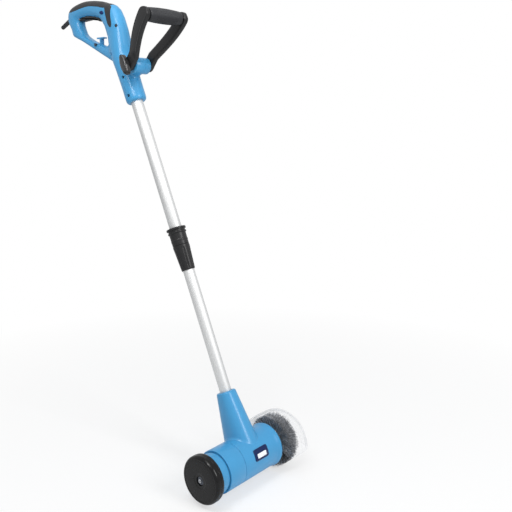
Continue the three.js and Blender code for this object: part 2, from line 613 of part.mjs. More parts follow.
function addGearbox() {
  const ringBody = cut(
    solid(rod('x', gear.ringOuter, gearEnd, gear.start, roundSteps)),
    solid(sidePlate(gearOutline(gear.ringTeeth, pitchRadius(gear.ringTeeth) + gear.dedendum * gearModule,
      pitchRadius(gear.ringTeeth) - gear.addendum * gearModule, 0, gear.ringMouthShare, gear.ringFloorShare),
    gearEnd - past, gear.start + past)));
  add('ring_gear', ringBody, darkSteel);

  const plateStart = gearEnd - fit;
  let carrier = join(
    solid(rod('x', gear.carrierRadius, plateStart - gear.carrierPlate, plateStart, roundSteps)),
    solid(rod('x', spindle.radius, spindle.end, plateStart - past)));
  for (let i = 0; i < gear.planets; i += 1) {
    const angle = 2 * Math.PI * i / gear.planets;
    const [y, z] = [planetOrbit * Math.cos(angle), planetOrbit * Math.sin(angle)];
    const pin = shifted(rod('x', gear.pinRadius, plateStart - past, gear.start - fit), 0, y, z);
    carrier = join(carrier, solid(pin));
    const phase = angle + Math.PI + Math.PI / gear.planetTeeth;
    const teeth = gearOutline(gear.planetTeeth, tipOf(gear.planetTeeth), rootOf(gear.planetTeeth), phase);
    const planet = sidePlate(teeth, gearEnd + fit, gear.start,
      { hole: ellipse(0, 0, gear.pinRadius + gear.pinGap, gear.pinRadius + gear.pinGap).reverse() });
    add(`planet_gear_${i + 1}`, shifted(planet, 0, y, z), steel);
  }
  add('planet_carrier', carrier, darkSteel);

  const coverBody = join(
    solid(rod('x', cover.radius, coverStart, coverStart + cover.thickness, roundSteps)),
    solid(rod('x', cover.hubRadius, coverStart - cover.hub, coverStart + past)));
  const coverBore = solid(rod('x', spindle.radius + cover.boreGap, -reach, reach));
  add('gear_cover', cut(coverBody, coverBore), blackPlastic);
}

// Joint brush: rings of nylon strands on their backing, clamped between two dished plates
function strandGeometry(x0, angle, direction) {
  const rootRadius = brush.backOuter - brush.rootDepth;
  const tipAngle = angle + brush.sweep * direction;
  const corner = (radius, turn, x, place) => {
    const around = 2 * Math.PI * place / brush.strandSides;
    const offset = brush.strandRadius * Math.cos(around);
    return new THREE.Vector3(
      x + brush.strandRadius * Math.sin(around),
      radius * Math.cos(turn) - offset * Math.sin(turn),
      radius * Math.sin(turn) + offset * Math.cos(turn));
  };
  const corners = [...Array(brush.strandSides).keys()];
  return loftOpen([
    corners.map((i) => corner(rootRadius, angle, x0, i)),
    corners.map((i) => corner(brush.radius, tipAngle, x0 + brush.fan * direction, i)),
  ]);
}

function loftOpen([foot, tip]) {
  const count = foot.length;
  const index = [];
  for (let i = 0; i < count; i += 1) {
    const j = (i + 1) % count;
    index.push(i, j, count + j, i, count + j, count + i);
  }
  for (let i = 1; i + 1 < count; i += 1) {
    index.push(0, i + 1, i, count, count + i, count + i + 1);
  }
  return new THREE.BufferGeometry().setFromPoints([...foot, ...tip]).setIndex(index);
}

function addBrush() {
  for (let ringIndex = 0; ringIndex < brush.rings; ringIndex += 1) {
    const from = brush.start - (ringIndex + 1) * brush.ringWidth + brush.ringGap;
    const to = brush.start - ringIndex * brush.ringWidth;
    const shift = Math.PI * (ringIndex % 2) / brush.strandsPerRing;
    let body = solid(sleeve('x', brush.backOuter, brush.backInner, from, to, brush.backSteps));
    const strands = [];
    for (let i = 0; i < brush.strandsPerRing; i += 1) {
      const angle = shift + 2 * Math.PI * (i + 1 / 2) / brush.strandsPerRing;
      strands.push(solid(strandGeometry((from + to) / 2, angle, i % 2 ? 1 : -1)));
    }
    body = body.add(wasm.Manifold.union(strands));
    add(`bristle_ring_${ringIndex + 1}`, body, nylon);
  }
  const hub = sleeve('x', brush.backInner - brush.hubFit, spindle.radius + fit, brushEnd + brush.ringGap,
    brush.start, brush.backSteps);
  add('brush_hub', hub, pale);

  const dished = (seat, direction) => {
    const near = seat + direction * fit;
    const far = near + direction * brush.plateThickness;
    const lift = direction * brush.plateDish;
    return turned([
      [spindle.radius + brush.boreGap, near + lift], [brush.dishRadius - brush.plateDish, near + lift],
      [brush.dishRadius, near], [brush.plateRadius, near], [brush.plateRadius, far], [brush.dishRadius, far],
      [brush.dishRadius - brush.plateDish, far + lift], [spindle.radius + brush.boreGap, far + lift],
    ], 'x', midSteps);
  };
  add('brush_plate_inner', dished(brush.start, 1), steel);
  add('brush_plate_outer', dished(brushEnd + brush.ringGap, -1), steel);

  const nutStart = plateOuterEnd - nut.gap;
  const hexagon = Array.from({ length: 6 }, (_, i) => {
    const angle = Math.PI * i / 3;
    const corner = nut.flats / 2 / Math.cos(Math.PI / 6);
    return new THREE.Vector2(corner * Math.cos(angle), corner * Math.sin(angle));
  });
  const nutBody = join(
    solid(rod('x', nut.washerRadius, nutStart - nut.washer, nutStart)),
    solid(sidePlate(hexagon, nutStart - nut.washer - nut.thickness, nutStart - nut.washer + fit)));
  add('spindle_nut', cut(nutBody, solid(rod('x', spindle.radius + fit, -reach, reach))), steel);
}

// Clear splash guard: a domed cap over the front, the top and the back of the brush
function addGuard() {
  const { radius, thickness, outer, dome, domeHole, drop } = guard;
  const inner = housing.brushEnd - fit;
  const wall = radius - thickness;
  const seatRadius = housingInner + guard.seat;
  const curve = (base, swing) => Array.from({ length: guard.domeSteps + 1 }, (_, i) => {
    const angle = quarter * i / guard.domeSteps;
    return [base - swing + swing * Math.cos(angle), outer + dome - (dome - (radius - base)) * Math.sin(angle)];
  });
  const outside = curve(radius, dome);
  const inside = curve(wall, dome - thickness).reverse();
  let shell = solid(turned([
    [radius, inner], ...outside, [domeHole, outer], [domeHole, outer + thickness], ...inside,
    [wall, inner - thickness], [seatRadius - drop, inner - thickness], [seatRadius - drop, inner],
  ], 'x'));
  for (let i = 0; i < guard.ribs; i += 1) {
    const from = inner - guard.ribPitch * (i + 1);
    shell = join(shell, solid(sleeve('x', radius + guard.ribHeight, radius - thickness / 2,
      from - guard.ribWidth, from)));
  }
  const removed = [[0, 0]];
  const far = reach / 2;
  for (const angle of [guard.to, (guard.to + fullTurn + guard.from) / 2, guard.from + fullTurn]) {
    removed.push([far * Math.cos(angle * degree), far * Math.sin(angle * degree)]);
  }
  const wedge = solid(sidePlate(polygon(removed), outer - past, inner + past));
  shell = cut(shell, wedge);
  const rimBore = solid(shifted(rod('x', seatRadius, inner - 2 * thickness, inner + past, roundSteps),
    0, 0, drop));
  shell = cut(shell, rimBore);
  add('splash_guard', geometryOf(shell).translate(0, 0, -drop), clear);
}

// Main handle: two shells with the D-grip, the boss for the loop handle and a hook for the cable
function handleBody() {
  const rounding = { bevelDepth: handle.bevelDepth, bevelSteps: handle.bevelSteps };
  const slab = (outline, steps, half, inset) => solid(sidePlate(smooth(outline, steps, handleBottom), -half, half,
    { ...rounding, bevelInset: inset }));
  const opening = slab(handleHole, handle.holeSteps, handle.barHalf, -handle.bevelInset);
  const frame = cut(slab(handleOutline, handle.outlineSteps, handle.barHalf, handle.bevelInset), opening);
  const nose = slab(noseOutline, handle.noseSteps, handle.halfWidth, handle.bevelInset);
  const palm = slab(palmOutline, handle.palmSteps, handle.gripHalf, handle.bevelInset);
  const body = join(frame, nose, palm);
  const lower = solid(turned(socket.map(([radius, up]) => [radius, up + handleBottom]), 'z', midSteps));
  const barrel = rod('x', boss.radius, boss.from, boss.to, midSteps);
  const bossBarrel = solid(shifted(barrel, 0, boss.forward, bossUp));
  const bossRoot = solid(shifted(rod('y', boss.rootRadius, 0, boss.forward, midSteps), 0, 0, bossUp));
  const hookPart = (width, from, to) => solid(block(-hook.half, hook.half, -width / 2, width / 2, from, to)
    .rotateX(hook.tilt * degree).translate(0, hook.at[0], hook.at[1] + handleBottom));
  const stem = hookPart(hook.stemWidth, -hook.stem, hook.stem / 2);
  const bar = hookPart(hook.bar, hook.stem / 2, hook.stem / 2 + hook.barThick);
  return join(body, lower, bossBarrel, bossRoot, stem, bar);
}

function handlePockets() {
  const bossBore = solid(shifted(rod('x', boss.boltBore, -reach, reach), 0, boss.forward, bossUp));
  const tubeBore = solid(rod('z', tube.upperRadius + fit, handleBottom - past, upperTubeTop + fit, midSteps));
  const inside = solid(sidePlate(polygon(cavity, handleBottom), -cavityHalf, cavityHalf));
  const pinRoom = rod('x', trigger.pinRadius + fit, -trigger.pinHalf - fit, trigger.pinHalf + fit);
  const pinBore = solid(shifted(pinRoom, 0, trigger.pivot[0], trigger.pivot[1] + handleBottom));
  const buttonBore = solid(buttonPlate(button.gap, 0, reach));
  const bootPlace = [0, boot.at[0], boot.at[1] + handleBottom];
  const bootRod = rod('y', boot.rootRadius + boot.gap, -boot.length, boot.length / 2);
  const bootBore = solid(shifted(bootRod, ...bootPlace));
  const flangeRod = rod('y', boot.flange + boot.gap, boot.collar - fit, boot.collar + boot.flangeWidth + fit);
  const bootFlange = solid(shifted(flangeRod, ...bootPlace));
  return { boss: bossBore, tubeBore, inside, swing: triggerRoom(), pinBore, buttonBore, bootBore, bootFlange };
}

function boltCuts() {
  return handleBolts.map(({ forward, up, seat, tip }) => {
    const shankBore = rod('x', handle.boltRadius + fit, tip - fit, reach, handle.boltSteps);
    const headBore = rod('x', handle.boltHead + fit, seat - fit, reach);
    return join(solid(shankBore), solid(headBore)).translate([0, forward, up + handleBottom]);
  });
}

function handleScrew({ forward, up, seat, tip }) {
  const shank = rod('x', handle.boltRadius, tip, seat + handle.boltHeadDepth / 2, handle.boltSteps);
  const head = rod('x', handle.boltHead, seat, seat + handle.boltHeadDepth);
  return join(solid(shank), solid(head)).translate([0, forward, up + handleBottom]);
}

// The oval of the lock-off button, tilted along the grip, from x0 to x1
function buttonPlate(extra, x0, x1) {
  return sidePlate(ellipse(0, 0, button.halfLong + extra, button.halfShort + extra), x0, x1)
    .rotateX(button.tilt * degree).translate(0, button.at[0], button.at[1] + handleBottom);
}

// The soft grip's place: a band along the top of the grip and a strip down each side of the nose
function gripRegion(extra) {
  const place = (points) => grown(polygon(points, handleBottom), extra);
  const strip = place(gripStrip);
  const foot = handle.halfWidth - stripDepth - extra;
  return join(solid(sidePlate(place(gripBand), -reach, reach)), solid(sidePlate(strip, foot, reach)),
    solid(sidePlate(strip, -reach, -foot)));
}

function triggerBody() {
  return solid(sidePlate(polygon(trigger.outline, handleBottom), -trigger.half, trigger.half));
}

// The room that the trigger sweeps as it swings up about its pin, with a gap all round
function triggerRoom() {
  const pivot = new THREE.Vector3(0, trigger.pivot[0], trigger.pivot[1] + handleBottom);
  const outline = grown(polygon(trigger.outline, handleBottom), trigger.gap);
  const wide = sidePlate(outline, -trigger.half - trigger.gap, trigger.half + trigger.gap);
  const turnedBy = (degrees) => solid(wide.clone().translate(0, -pivot.y, -pivot.z)
    .rotateX(degrees * degree).translate(0, pivot.y, pivot.z));
  const steps = [...Array(trigger.sweeps + 1).keys()];
  const swings = steps.map((i) => turnedBy(trigger.swing * i / trigger.sweeps));
  return join(...swings);
}

function addHandle() {
  const body = handleBody();
  const pockets = handlePockets();
  add('soft_grip', cut(body.intersect(gripRegion(0)), pockets.boss, pockets.inside), blackRubber);

  const hard = cut(body, gripRegion(fit), ...Object.values(pockets), ...boltCuts());
  add('handle_shell_right', rightHalf(hard), blue);
  add('handle_shell_left', leftHalf(hard), blue);
  handleBolts.forEach((bolt, i) => {
    add(`handle_screw_${i + 1}`, handleScrew(bolt), darkSteel);
  });
}

function addSwitchgear() {
  const pivot = [trigger.pivot[0], trigger.pivot[1] + handleBottom];
  const pinHole = solid(shifted(rod('x', trigger.pinRadius + fit, -reach, reach), 0, ...pivot));
  add('trigger', cut(triggerBody(), pinHole), blackPlastic);
  const pin = rod('x', trigger.pinRadius, -trigger.pinHalf, trigger.pinHalf);
  add('trigger_pin', shifted(pin, 0, ...pivot), steel);

  const outer = handle.halfWidth + button.proud;
  add('lock_off_button', buttonPlate(0, outer - button.depth, outer), navy);

  const box = ({ at, length, height, half }) => block(-half, half, at[0] - length / 2, at[0] + length / 2,
    at[1] + handleBottom - height / 2, at[1] + handleBottom + height / 2);
  add('power_switch', box(switchBox), blackPlastic);
  add('capacitor', box(capacitor), pale);
  add('terminal_block', box(terminals), white);
}

// Short bend protector at the cable's entry, open at its end
function addBoot() {
  const profile = [[boot.bore, boot.collar + boot.flangeWidth], [boot.flange, boot.collar + boot.flangeWidth],
    [boot.flange, boot.collar], [boot.rootRadius, boot.collar]];
  for (let i = 0; i < boot.ribs; i += 1) {
    const at = -(i + 1) * boot.length / (boot.ribs + 1);
    const radius = THREE.MathUtils.mapLinear(at, 0, -boot.length, boot.rootRadius, boot.tipRadius);
    profile.push([radius, at + boot.ribWidth], [radius - boot.ribHeight, at + boot.ribWidth],
      [radius - boot.ribHeight, at], [radius, at]);
  }
  profile.push([boot.tipRadius, -boot.length], [boot.bore, -boot.length]);
  const place = [0, boot.at[0], boot.at[1] + handleBottom];
  add('cable_bend_protector', shifted(turned(profile, 'y', smallSteps), ...place), blackRubber);
}

// Loop handle: two legs on the boss, a core rod and a soft barrel grip, clamped by a wing knob
// A leg runs straight beside the boss, then spreads in a quarter sine; both ends are round
function legAt(foot, top) {
  const { length, footRadius, topRadius, thickness, bevel, straight } = loop;
  const half = thickness / 2;
  const section = (along, height) => {
    const share = THREE.MathUtils.clamp((along - straight) / (length - straight), 0, 1);
    const middle = THREE.MathUtils.lerp(foot, top, Math.sin(quarter * share));
    const edge = Math.min(bevel, height / 2);
    return [[half, height - edge], [half - edge, height], [edge - half, height], [-half, height - edge],
      [-half, edge - height], [edge - half, -height], [half - edge, -height], [half, edge - height]]
      .map(([x, z]) => new THREE.Vector3(middle + x, along, z));
  };
  const sections = loop.endShares.map((share) =>
    section(-footRadius * share, footRadius * Math.sqrt(1 - share ** 2)));
  for (let i = 0; i <= loop.sideSteps; i += 1) {
    const share = i / loop.sideSteps;
    sections.push(section(
      THREE.MathUtils.lerp(straight, length, share), THREE.MathUtils.lerp(footRadius, topRadius, share)));
  }
  sections.push(...loop.endShares.toReversed().map((share) =>
    section(length + topRadius * share, topRadius * Math.sqrt(1 - share ** 2))));
  return loft(sections);
}

function onBoss(geometry) {
  return geometry.rotateX(loopLean).translate(0, boss.forward, bossUp);
}

function addLoop() {
  const topInner = loop.topHalf - loop.thickness / 2;
  const coreRod = shifted(rod('x', loop.coreRadius, -loop.topHalf, loop.topHalf, midSteps), 0, loop.length, 0);
  const boltBore = rod('x', loop.boltBore, -reach, reach);
  const rightLeg = solid(legAt(loop.footAt.right, loop.topHalf));
  const leftLeg = solid(legAt(loop.footAt.left, -loop.topHalf));
  const frame = cut(join(rightLeg, leftLeg, solid(coreRod)), solid(boltBore));
  add('loop_handle_frame', onBoss(geometryOf(frame)), blackPlastic);

  const half = topInner - loop.gripGap;
  const profile = [[loop.coreRadius + fit, -half]];
  for (let i = 0; i <= loop.barrelSteps; i += 1) {
    const share = 2 * i / loop.barrelSteps - 1;
    profile.push([loop.barrelMiddle - (loop.barrelMiddle - loop.barrelEnd) * share ** 2, half * share]);
  }
  profile.push([loop.coreRadius + fit, half]);
  add('loop_handle_grip', onBoss(shifted(turned(profile, 'x', midSteps), 0, loop.length, 0)), blackRubber);

  const outside = loop.footAt.right + loop.thickness / 2;
  const knobStart = outside + clamp.gap;
  const knobEnd = knobStart + clamp.knobDepth;
  const wing = sidePlate(ellipse(0, 0, clamp.knobShort, clamp.knobLong, midSteps), knobStart, knobEnd,
    { bevelDepth: clamp.knobBevel, bevelInset: clamp.knobBevel, bevelSteps: 2 });
  const knobHub = rod('x', clamp.knobHub, knobStart, knobStart + clamp.knobDepth / 2, midSteps);
  const boltSpace = solid(rod('x', clamp.boltRadius + fit, knobStart - past, knobEnd - clamp.knobBevel));
  add('clamp_knob', cut(join(solid(wing), solid(knobHub)), boltSpace).translate([0, boss.forward, bossUp]),
    blackPlastic);
  const capStartX = loop.footAt.left - loop.thickness / 2 - clamp.gap;
  const bolt = join(
    solid(rod('x', clamp.boltRadius, capStartX - past, knobEnd - clamp.knobBevel - fit)),
    solid(rod('x', clamp.capRadius, capStartX - clamp.capDepth, capStartX)));
  add('clamp_bolt', bolt.translate([0, boss.forward, bossUp]), steel);
}

addTubes();
addCollar();
addHousing();
addLabel();
addWheel();
addMotor();
addGearbox();
addBrush();
addGuard();
addHandle();
addSwitchgear();
addBoot();
addLoop();

const patioCleaner = new THREE.Group();
patioCleaner.add(machine);
export default patioCleaner;
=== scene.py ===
"""Looks for the electric patio cleaner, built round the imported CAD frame.

Sizes below are millimetres in the shaft's own frame: x along the head's axis, y to the front and z up
along the shaft, with the head's axis through its origin. stand() turns them into the row's metres.
"""

import math

import bmesh
import bpy
import numpy as np
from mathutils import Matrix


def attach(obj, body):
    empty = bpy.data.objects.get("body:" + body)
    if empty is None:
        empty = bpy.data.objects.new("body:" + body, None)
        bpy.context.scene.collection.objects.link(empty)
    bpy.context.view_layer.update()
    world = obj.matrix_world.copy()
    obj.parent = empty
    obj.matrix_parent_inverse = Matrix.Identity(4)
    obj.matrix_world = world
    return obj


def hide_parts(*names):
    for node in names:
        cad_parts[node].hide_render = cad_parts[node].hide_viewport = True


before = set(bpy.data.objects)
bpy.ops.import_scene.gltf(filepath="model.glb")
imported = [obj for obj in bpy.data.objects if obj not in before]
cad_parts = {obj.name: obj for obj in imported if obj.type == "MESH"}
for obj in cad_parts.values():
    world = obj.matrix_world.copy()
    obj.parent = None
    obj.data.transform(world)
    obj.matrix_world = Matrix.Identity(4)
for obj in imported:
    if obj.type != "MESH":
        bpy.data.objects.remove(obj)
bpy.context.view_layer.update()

# ---- Camera, floor and light ----
# A product table: a white floor in an even white room, with a tall soft lamp in front of the machine, a
# broad one above it and a small one by the handle. The camera stands in front, on the wheel side.
camera_data = bpy.data.cameras.new("camera")
camera = bpy.data.objects.new("camera", camera_data)
bpy.context.collection.objects.link(camera)
camera.location = (0.8725, 0.7628, 0.6801)
camera.rotation_euler = [math.radians(a) for a in (81.787, -0.804, 130.639)]
camera_data.lens = 47.457
camera_data.sensor_width = 36
camera_data.shift_y = -0.0996
camera_data.clip_start = 0.02
bpy.context.scene.camera = camera
bpy.context.scene.view_settings.view_transform = "Standard"


def soft_lamp(name, place, aim, size, power):
    """A rectangular lamp at place, tipped and turned so that its face looks at aim."""
    data = bpy.data.lights.new(name, "AREA")
    data.shape = "RECTANGLE"
    data.size, data.size_y = size
    data.energy = power
    lamp = bpy.data.objects.new(name, data)
    bpy.context.collection.objects.link(lamp)
    lamp.location = place
    x, y, z = np.array(aim, float) - np.array(place, float)
    lamp.rotation_euler = (math.atan2(math.hypot(x, y), -z), 0, math.atan2(y, x) - math.pi / 2)


soft_lamp("key_lamp", place=(-0.1, 1.8, 1.5), aim=(0, -0.1, 0.35), size=(0.6, 1.1), power=23)
soft_lamp("top_lamp", place=(0.5, 0.1, 2.3), aim=(0, -0.3, 0.6), size=(1.4, 1.4), power=12)
soft_lamp("hand_lamp", place=(0.75, 0.1, 1.35), aim=(0, -0.35, 0.82), size=(0.4, 0.4), power=6)


def add_node(tree, kind, inputs=None, **settings):
    """A shader node with its settings. Each input gets a value, or a link where the value is a socket."""
    made = tree.nodes.new("ShaderNode" + kind)
    for label, value in settings.items():
        setattr(made, label, value)
    for label, value in (inputs or {}).items():
        if isinstance(value, bpy.types.NodeSocket):
            tree.links.new(value, made.inputs[label])
        else:
            made.inputs[label].default_value = value
    return made


ROOM_LIGHT = 0.42  # the room's strength as a lamp
ROOM_MIRRORED = 0.78  # how far a mirrored room comes up to the plain white that the camera sees
world = bpy.data.worlds.new("white_room")
bpy.context.scene.world = world
world.use_nodes = True
room = world.node_tree
room.nodes.clear()
room_seen = add_node(room, "Background", {"Color": (1, 1, 1, 1), "Strength": 1})
room_lamp = add_node(room, "Background", {"Color": (0.95, 0.975, 1, 1), "Strength": ROOM_LIGHT})
ray = add_node(room, "LightPath")
straight = add_node(room, "Math", {0: ray.outputs["Is Camera Ray"], 1: ray.outputs["Is Transmission Ray"]},
                    operation="MAXIMUM")
mirrored = add_node(room, "Math", {0: ray.outputs["Is Glossy Ray"], 1: ROOM_MIRRORED, 2: straight.outputs[0]},
                    operation="MULTIPLY_ADD")
room_mix = add_node(room, "MixShader", {
    0: mirrored.outputs[0], 1: room_lamp.outputs[0], 2: room_seen.outputs[0]})
add_node(room, "OutputWorld", {0: room_mix.outputs[0]})

FLOOR_HALF, FLOOR_DROP = 9, 0.001  # metres
floor_mesh = bpy.data.meshes.new("floor")
floor_mesh.from_pydata([(x * FLOOR_HALF, y * FLOOR_HALF, -FLOOR_DROP)
                        for x, y in ((-1, -1), (1, -1), (1, 1), (-1, 1))], [], [(0, 1, 2, 3)])
floor = bpy.data.objects.new("floor", floor_mesh)
bpy.context.collection.objects.link(floor)
floor_white = bpy.data.materials.new("floor_white")
floor_white.use_nodes = True
floor_tree = floor_white.node_tree
floor_shader = floor_tree.nodes["Principled BSDF"]
for label, value in (("Base Color", (0.93, 0.93, 0.93, 1)), ("Roughness", 0.9), ("Specular IOR Level", 0.1)):
    floor_shader.inputs[label].default_value = value
# Seen by the camera, the floor runs out from a shaded white near the machine to the backdrop's plain white
floor_place = add_node(floor_tree, "TexCoord")
floor_far = add_node(floor_tree, "VectorMath", {0: floor_place.outputs["Object"]}, operation="LENGTH")
floor_fade = add_node(floor_tree, "MapRange", {
    "Value": floor_far.outputs["Value"], "From Min": 0.25, "From Max": 1.1, "To Min": 0.6, "To Max": 1.0})
floor_ray = add_node(floor_tree, "LightPath")
floor_share = add_node(floor_tree, "Math", {
    0: floor_ray.outputs["Is Camera Ray"], 1: floor_fade.outputs["Result"]}, operation="MULTIPLY")
floor_glow = add_node(floor_tree, "Emission")
floor_mix = add_node(floor_tree, "MixShader", {
    0: floor_share.outputs[0], 1: floor_shader.outputs[0], 2: floor_glow.outputs[0]})
floor_tree.links.new(floor_mix.outputs[0], floor_tree.nodes["Material Output"].inputs[0])
floor_mesh.materials.append(floor_white)

# ---- Motor housing ----
# Two screwed halves moulded in glossy blue plastic: a round body for the motor, a thick rim at the brush
# end, and a tapered neck that holds the lower tube. The neck runs out into the body with a soft fillet.
LEAN = math.radians(24.9)  # of the shaft
GROUND = 49  # the brush's radius
MERGE = 1e-6  # metres


def xyz(x, y, z):
    """Coordinates spread to one shape and joined as points."""
    return np.stack(np.broadcast_arrays(x, y, z), -1)


def tipped(points, angle):
    """Points turned about X by an angle."""
    x, y, z = np.moveaxis(np.asarray(points, float), -1, 0)
    c, s = math.cos(angle), math.sin(angle)
    return xyz(x, y * c - z * s, y * s + z * c)


def stand(points):
    """Shaft-frame millimetres to row metres: turned back about X by the lean, lifted by the brush radius."""
    return (tipped(points, LEAN) + np.array([0, 0, GROUND])) / 1000


def grid_faces(rows, columns, loop_rows=False, start=0):
    """Quads (i, j), (i, j+1), (i+1, j+1), (i+1, j) of a rows by columns grid whose columns go right round."""
    i, j = np.arange(rows if loop_rows else rows - 1)[:, None], np.arange(columns)[None, :]
    here, below, beside = i * columns, (i + 1) % rows * columns, (j + 1) % columns
    return np.stack([here + j, here + beside, below + beside, below + j], -1).reshape(-1, 4) + start


def face_out(mesh, merge=0.0):
    """Turns all faces outwards, after points closer than merge are made one."""
    made = bmesh.new()
    made.from_mesh(mesh)
    if merge:
        bmesh.ops.remove_doubles(made, verts=made.verts, dist=merge)
        bmesh.ops.dissolve_degenerate(made, dist=merge / 10, edges=made.edges)
    bmesh.ops.recalc_face_normals(made, faces=made.faces)
    made.to_mesh(mesh)
    made.free()


def dress(thing, body, material, nodes=(), sharp=38):
    """Links an object, shades it smooth up to the sharp angle, gives it its material and body, and hides the CAD
    nodes it stands for.
    """
    if thing.name not in bpy.context.collection.objects:
        bpy.context.collection.objects.link(thing)
    mesh = thing.data
    mesh.materials.clear()
    mesh.materials.append(material)
    mesh.polygons.foreach_set("use_smooth", np.ones(len(mesh.polygons), bool))
    mesh.set_sharp_from_angle(angle=math.radians(sharp))
    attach(thing, body)
    if nodes:
        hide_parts(*nodes)


def piece(name, points, body, material, nodes=(), sharp=38, loop=True, faces=None):
    """One dressed object from a grid of shaft-frame points, its rows looped or not, or with its own faces."""
    if faces is None:
        faces = grid_faces(*points.shape[:2], loop_rows=loop)
    mesh = bpy.data.meshes.new(name)
    mesh.from_pydata(stand(points).reshape(-1, 3).tolist(), [], [tuple(f) for f in faces])
    face_out(mesh, MERGE)
    dress(bpy.data.objects.new(name, mesh), body, material, nodes, sharp)


def rounded(corners, radius, steps=4, closed=False):
    """A polyline with its corners cut round: near each corner B it follows the curve
    (1-t)^2 A + 2t(1-t) B + t^2 C, with A and C on the two edges, radius from B or half the edge."""
    half_edge = 0.49  # a little less, so that neighbours don't meet
    points = [np.array(c[:2], float) for c in corners]
    reach = [c[2] if len(c) > 2 else radius for c in corners]
    count, out = len(points), []
    for k, corner in enumerate(points):
        if not closed and k in (0, count - 1) or reach[k] == 0:
            out.append(corner)
            continue
        before, after = points[k - 1] - corner, points[(k + 1) % count] - corner
        a = corner + before * min(reach[k] / np.linalg.norm(before), half_edge)
        c = corner + after * min(reach[k] / np.linalg.norm(after), half_edge)
        for t in np.linspace(0, 1, steps + 1):
            out.append((1 - t) ** 2 * a + 2 * t * (1 - t) * corner + t * t * c)
    return np.array(out)


def circle(count):
    """The angles of count even steps once round."""
    return np.linspace(0, 2 * math.pi, count, endpoint=False)


def ring(axis, along, radius, angle):
    """Points round x, y or z: along on the axis, radius times the angle's cos and sin across it."""
    across, rise = radius * np.cos(angle), radius * np.sin(angle)
    return xyz(*{"x": (along, across, rise), "y": (rise, along, across), "z": (across, rise, along)}[axis])


def turned(profile, axis="x", steps=96, centre=(0, 0, 0)):
    """A (radius, along) profile turned once round an axis."""
    radius, along = np.asarray(profile, float).T
    return ring(axis, along, radius, circle(steps)[:, None]) + np.array(centre, float)


def turned_piece(name, corners, radius, cuts, body, material, nodes=(), axis="x", steps=96,
                 centre=(0, 0, 0)):
    """A turned piece from the corners of its closed (radius, along) profile, cut round."""
    piece(name, turned(rounded(corners, radius, cuts, closed=True), axis, steps, centre), body, material, nodes)


def bent(value, power):
    """A circle's cos or sin bent to a superellipse of that power: sign(v) |v|^(2 / n)."""
    return np.sign(value) * np.abs(value) ** (2 / power)


def rgb(red, green, blue):
    """Screen colour 0 to 255 as linear light."""
    c = np.array([red, green, blue]) / 255
    c = np.where(c <= 0.04045, c / 12.92, ((c + 0.055) / 1.055) ** 2.4)
    return (*c.tolist(), 1)


def shader_group(name, inputs):
    """A group that reads a Vector and the inputs, numbers or colours, and gives out Color, Roughness and
    Height. Returned with the sockets to read from and those to link to."""
    group = bpy.data.node_groups.new(name, "ShaderNodeTree")
    group.interface.new_socket("Vector", in_out="INPUT", socket_type="NodeSocketVector")
    for label, value in inputs.items():
        kind = "Float" if isinstance(value, float) else "Color"
        socket = group.interface.new_socket(label, in_out="INPUT", socket_type="NodeSocket" + kind)
        socket.default_value = value
    for label, kind in (("Color", "Color"), ("Roughness", "Float"), ("Height", "Float")):
        group.interface.new_socket(label, in_out="OUTPUT", socket_type="NodeSocket" + kind)
    return group, group.nodes.new("NodeGroupInput").outputs, group.nodes.new("NodeGroupOutput").inputs


def send(group, result, colour, gloss, height):
    """Links three sockets to the group's outputs."""
    for label, socket in (("Color", colour), ("Roughness", gloss), ("Height", height)):
        group.links.new(socket, result[label])


def noise(group, vector, scale, detail=2.0, rough=0.5):
    """The value of a noise texture."""
    return add_node(group, "TexNoise", {
        "Vector": vector, "Scale": scale, "Detail": detail, "Roughness": rough}).outputs["Fac"]


def spread(group, value, low, high):
    """Stretches a noise's middle half, 0.25 to 0.75, over low to high."""
    return add_node(group, "MapRange", {
        "Value": value, "From Min": 0.25, "From Max": 0.75, "To Min": low, "To Max": high}).outputs["Result"]


def combine(group, kind, first, second):
    """One sum, difference or product of numbers or sockets."""
    return add_node(group, "Math", {0: first, 1: second}, operation=kind).outputs[0]


def mixed(group, factor, first, second, blend="MIX"):
    """Two colours mixed by a factor, or multiplied."""
    return add_node(group, "Mix", {"Factor": factor, "A": first, "B": second}, data_type="RGBA",
                    blend_type=blend).outputs["Result"]


# Moulded plastic: slow drift of tone, a spark-eroded grain for the height, faint handling marks in the gloss
moulded_skin, given, result = shader_group("moulded_skin", {
    "Color": (1, 1, 1, 1), "Grain": 900.0, "Drift": 0.05, "Gloss": 0.3, "Marks": 0.06})
skin_tone = spread(moulded_skin, noise(moulded_skin, given["Vector"], 14.0, 3.0),
                   combine(moulded_skin, "SUBTRACT", 1.0, given["Drift"]),
                   combine(moulded_skin, "ADD", 1.0, given["Drift"]))
skin_gloss = spread(moulded_skin, noise(moulded_skin, given["Vector"], 60.0, 4.0, 0.65),
                    combine(moulded_skin, "SUBTRACT", given["Gloss"], given["Marks"]),
                    combine(moulded_skin, "ADD", given["Gloss"], given["Marks"]))
send(moulded_skin, result, mixed(moulded_skin, 1, given["Color"], skin_tone, "MULTIPLY"), skin_gloss,
     noise(moulded_skin, given["Vector"], given["Grain"]))


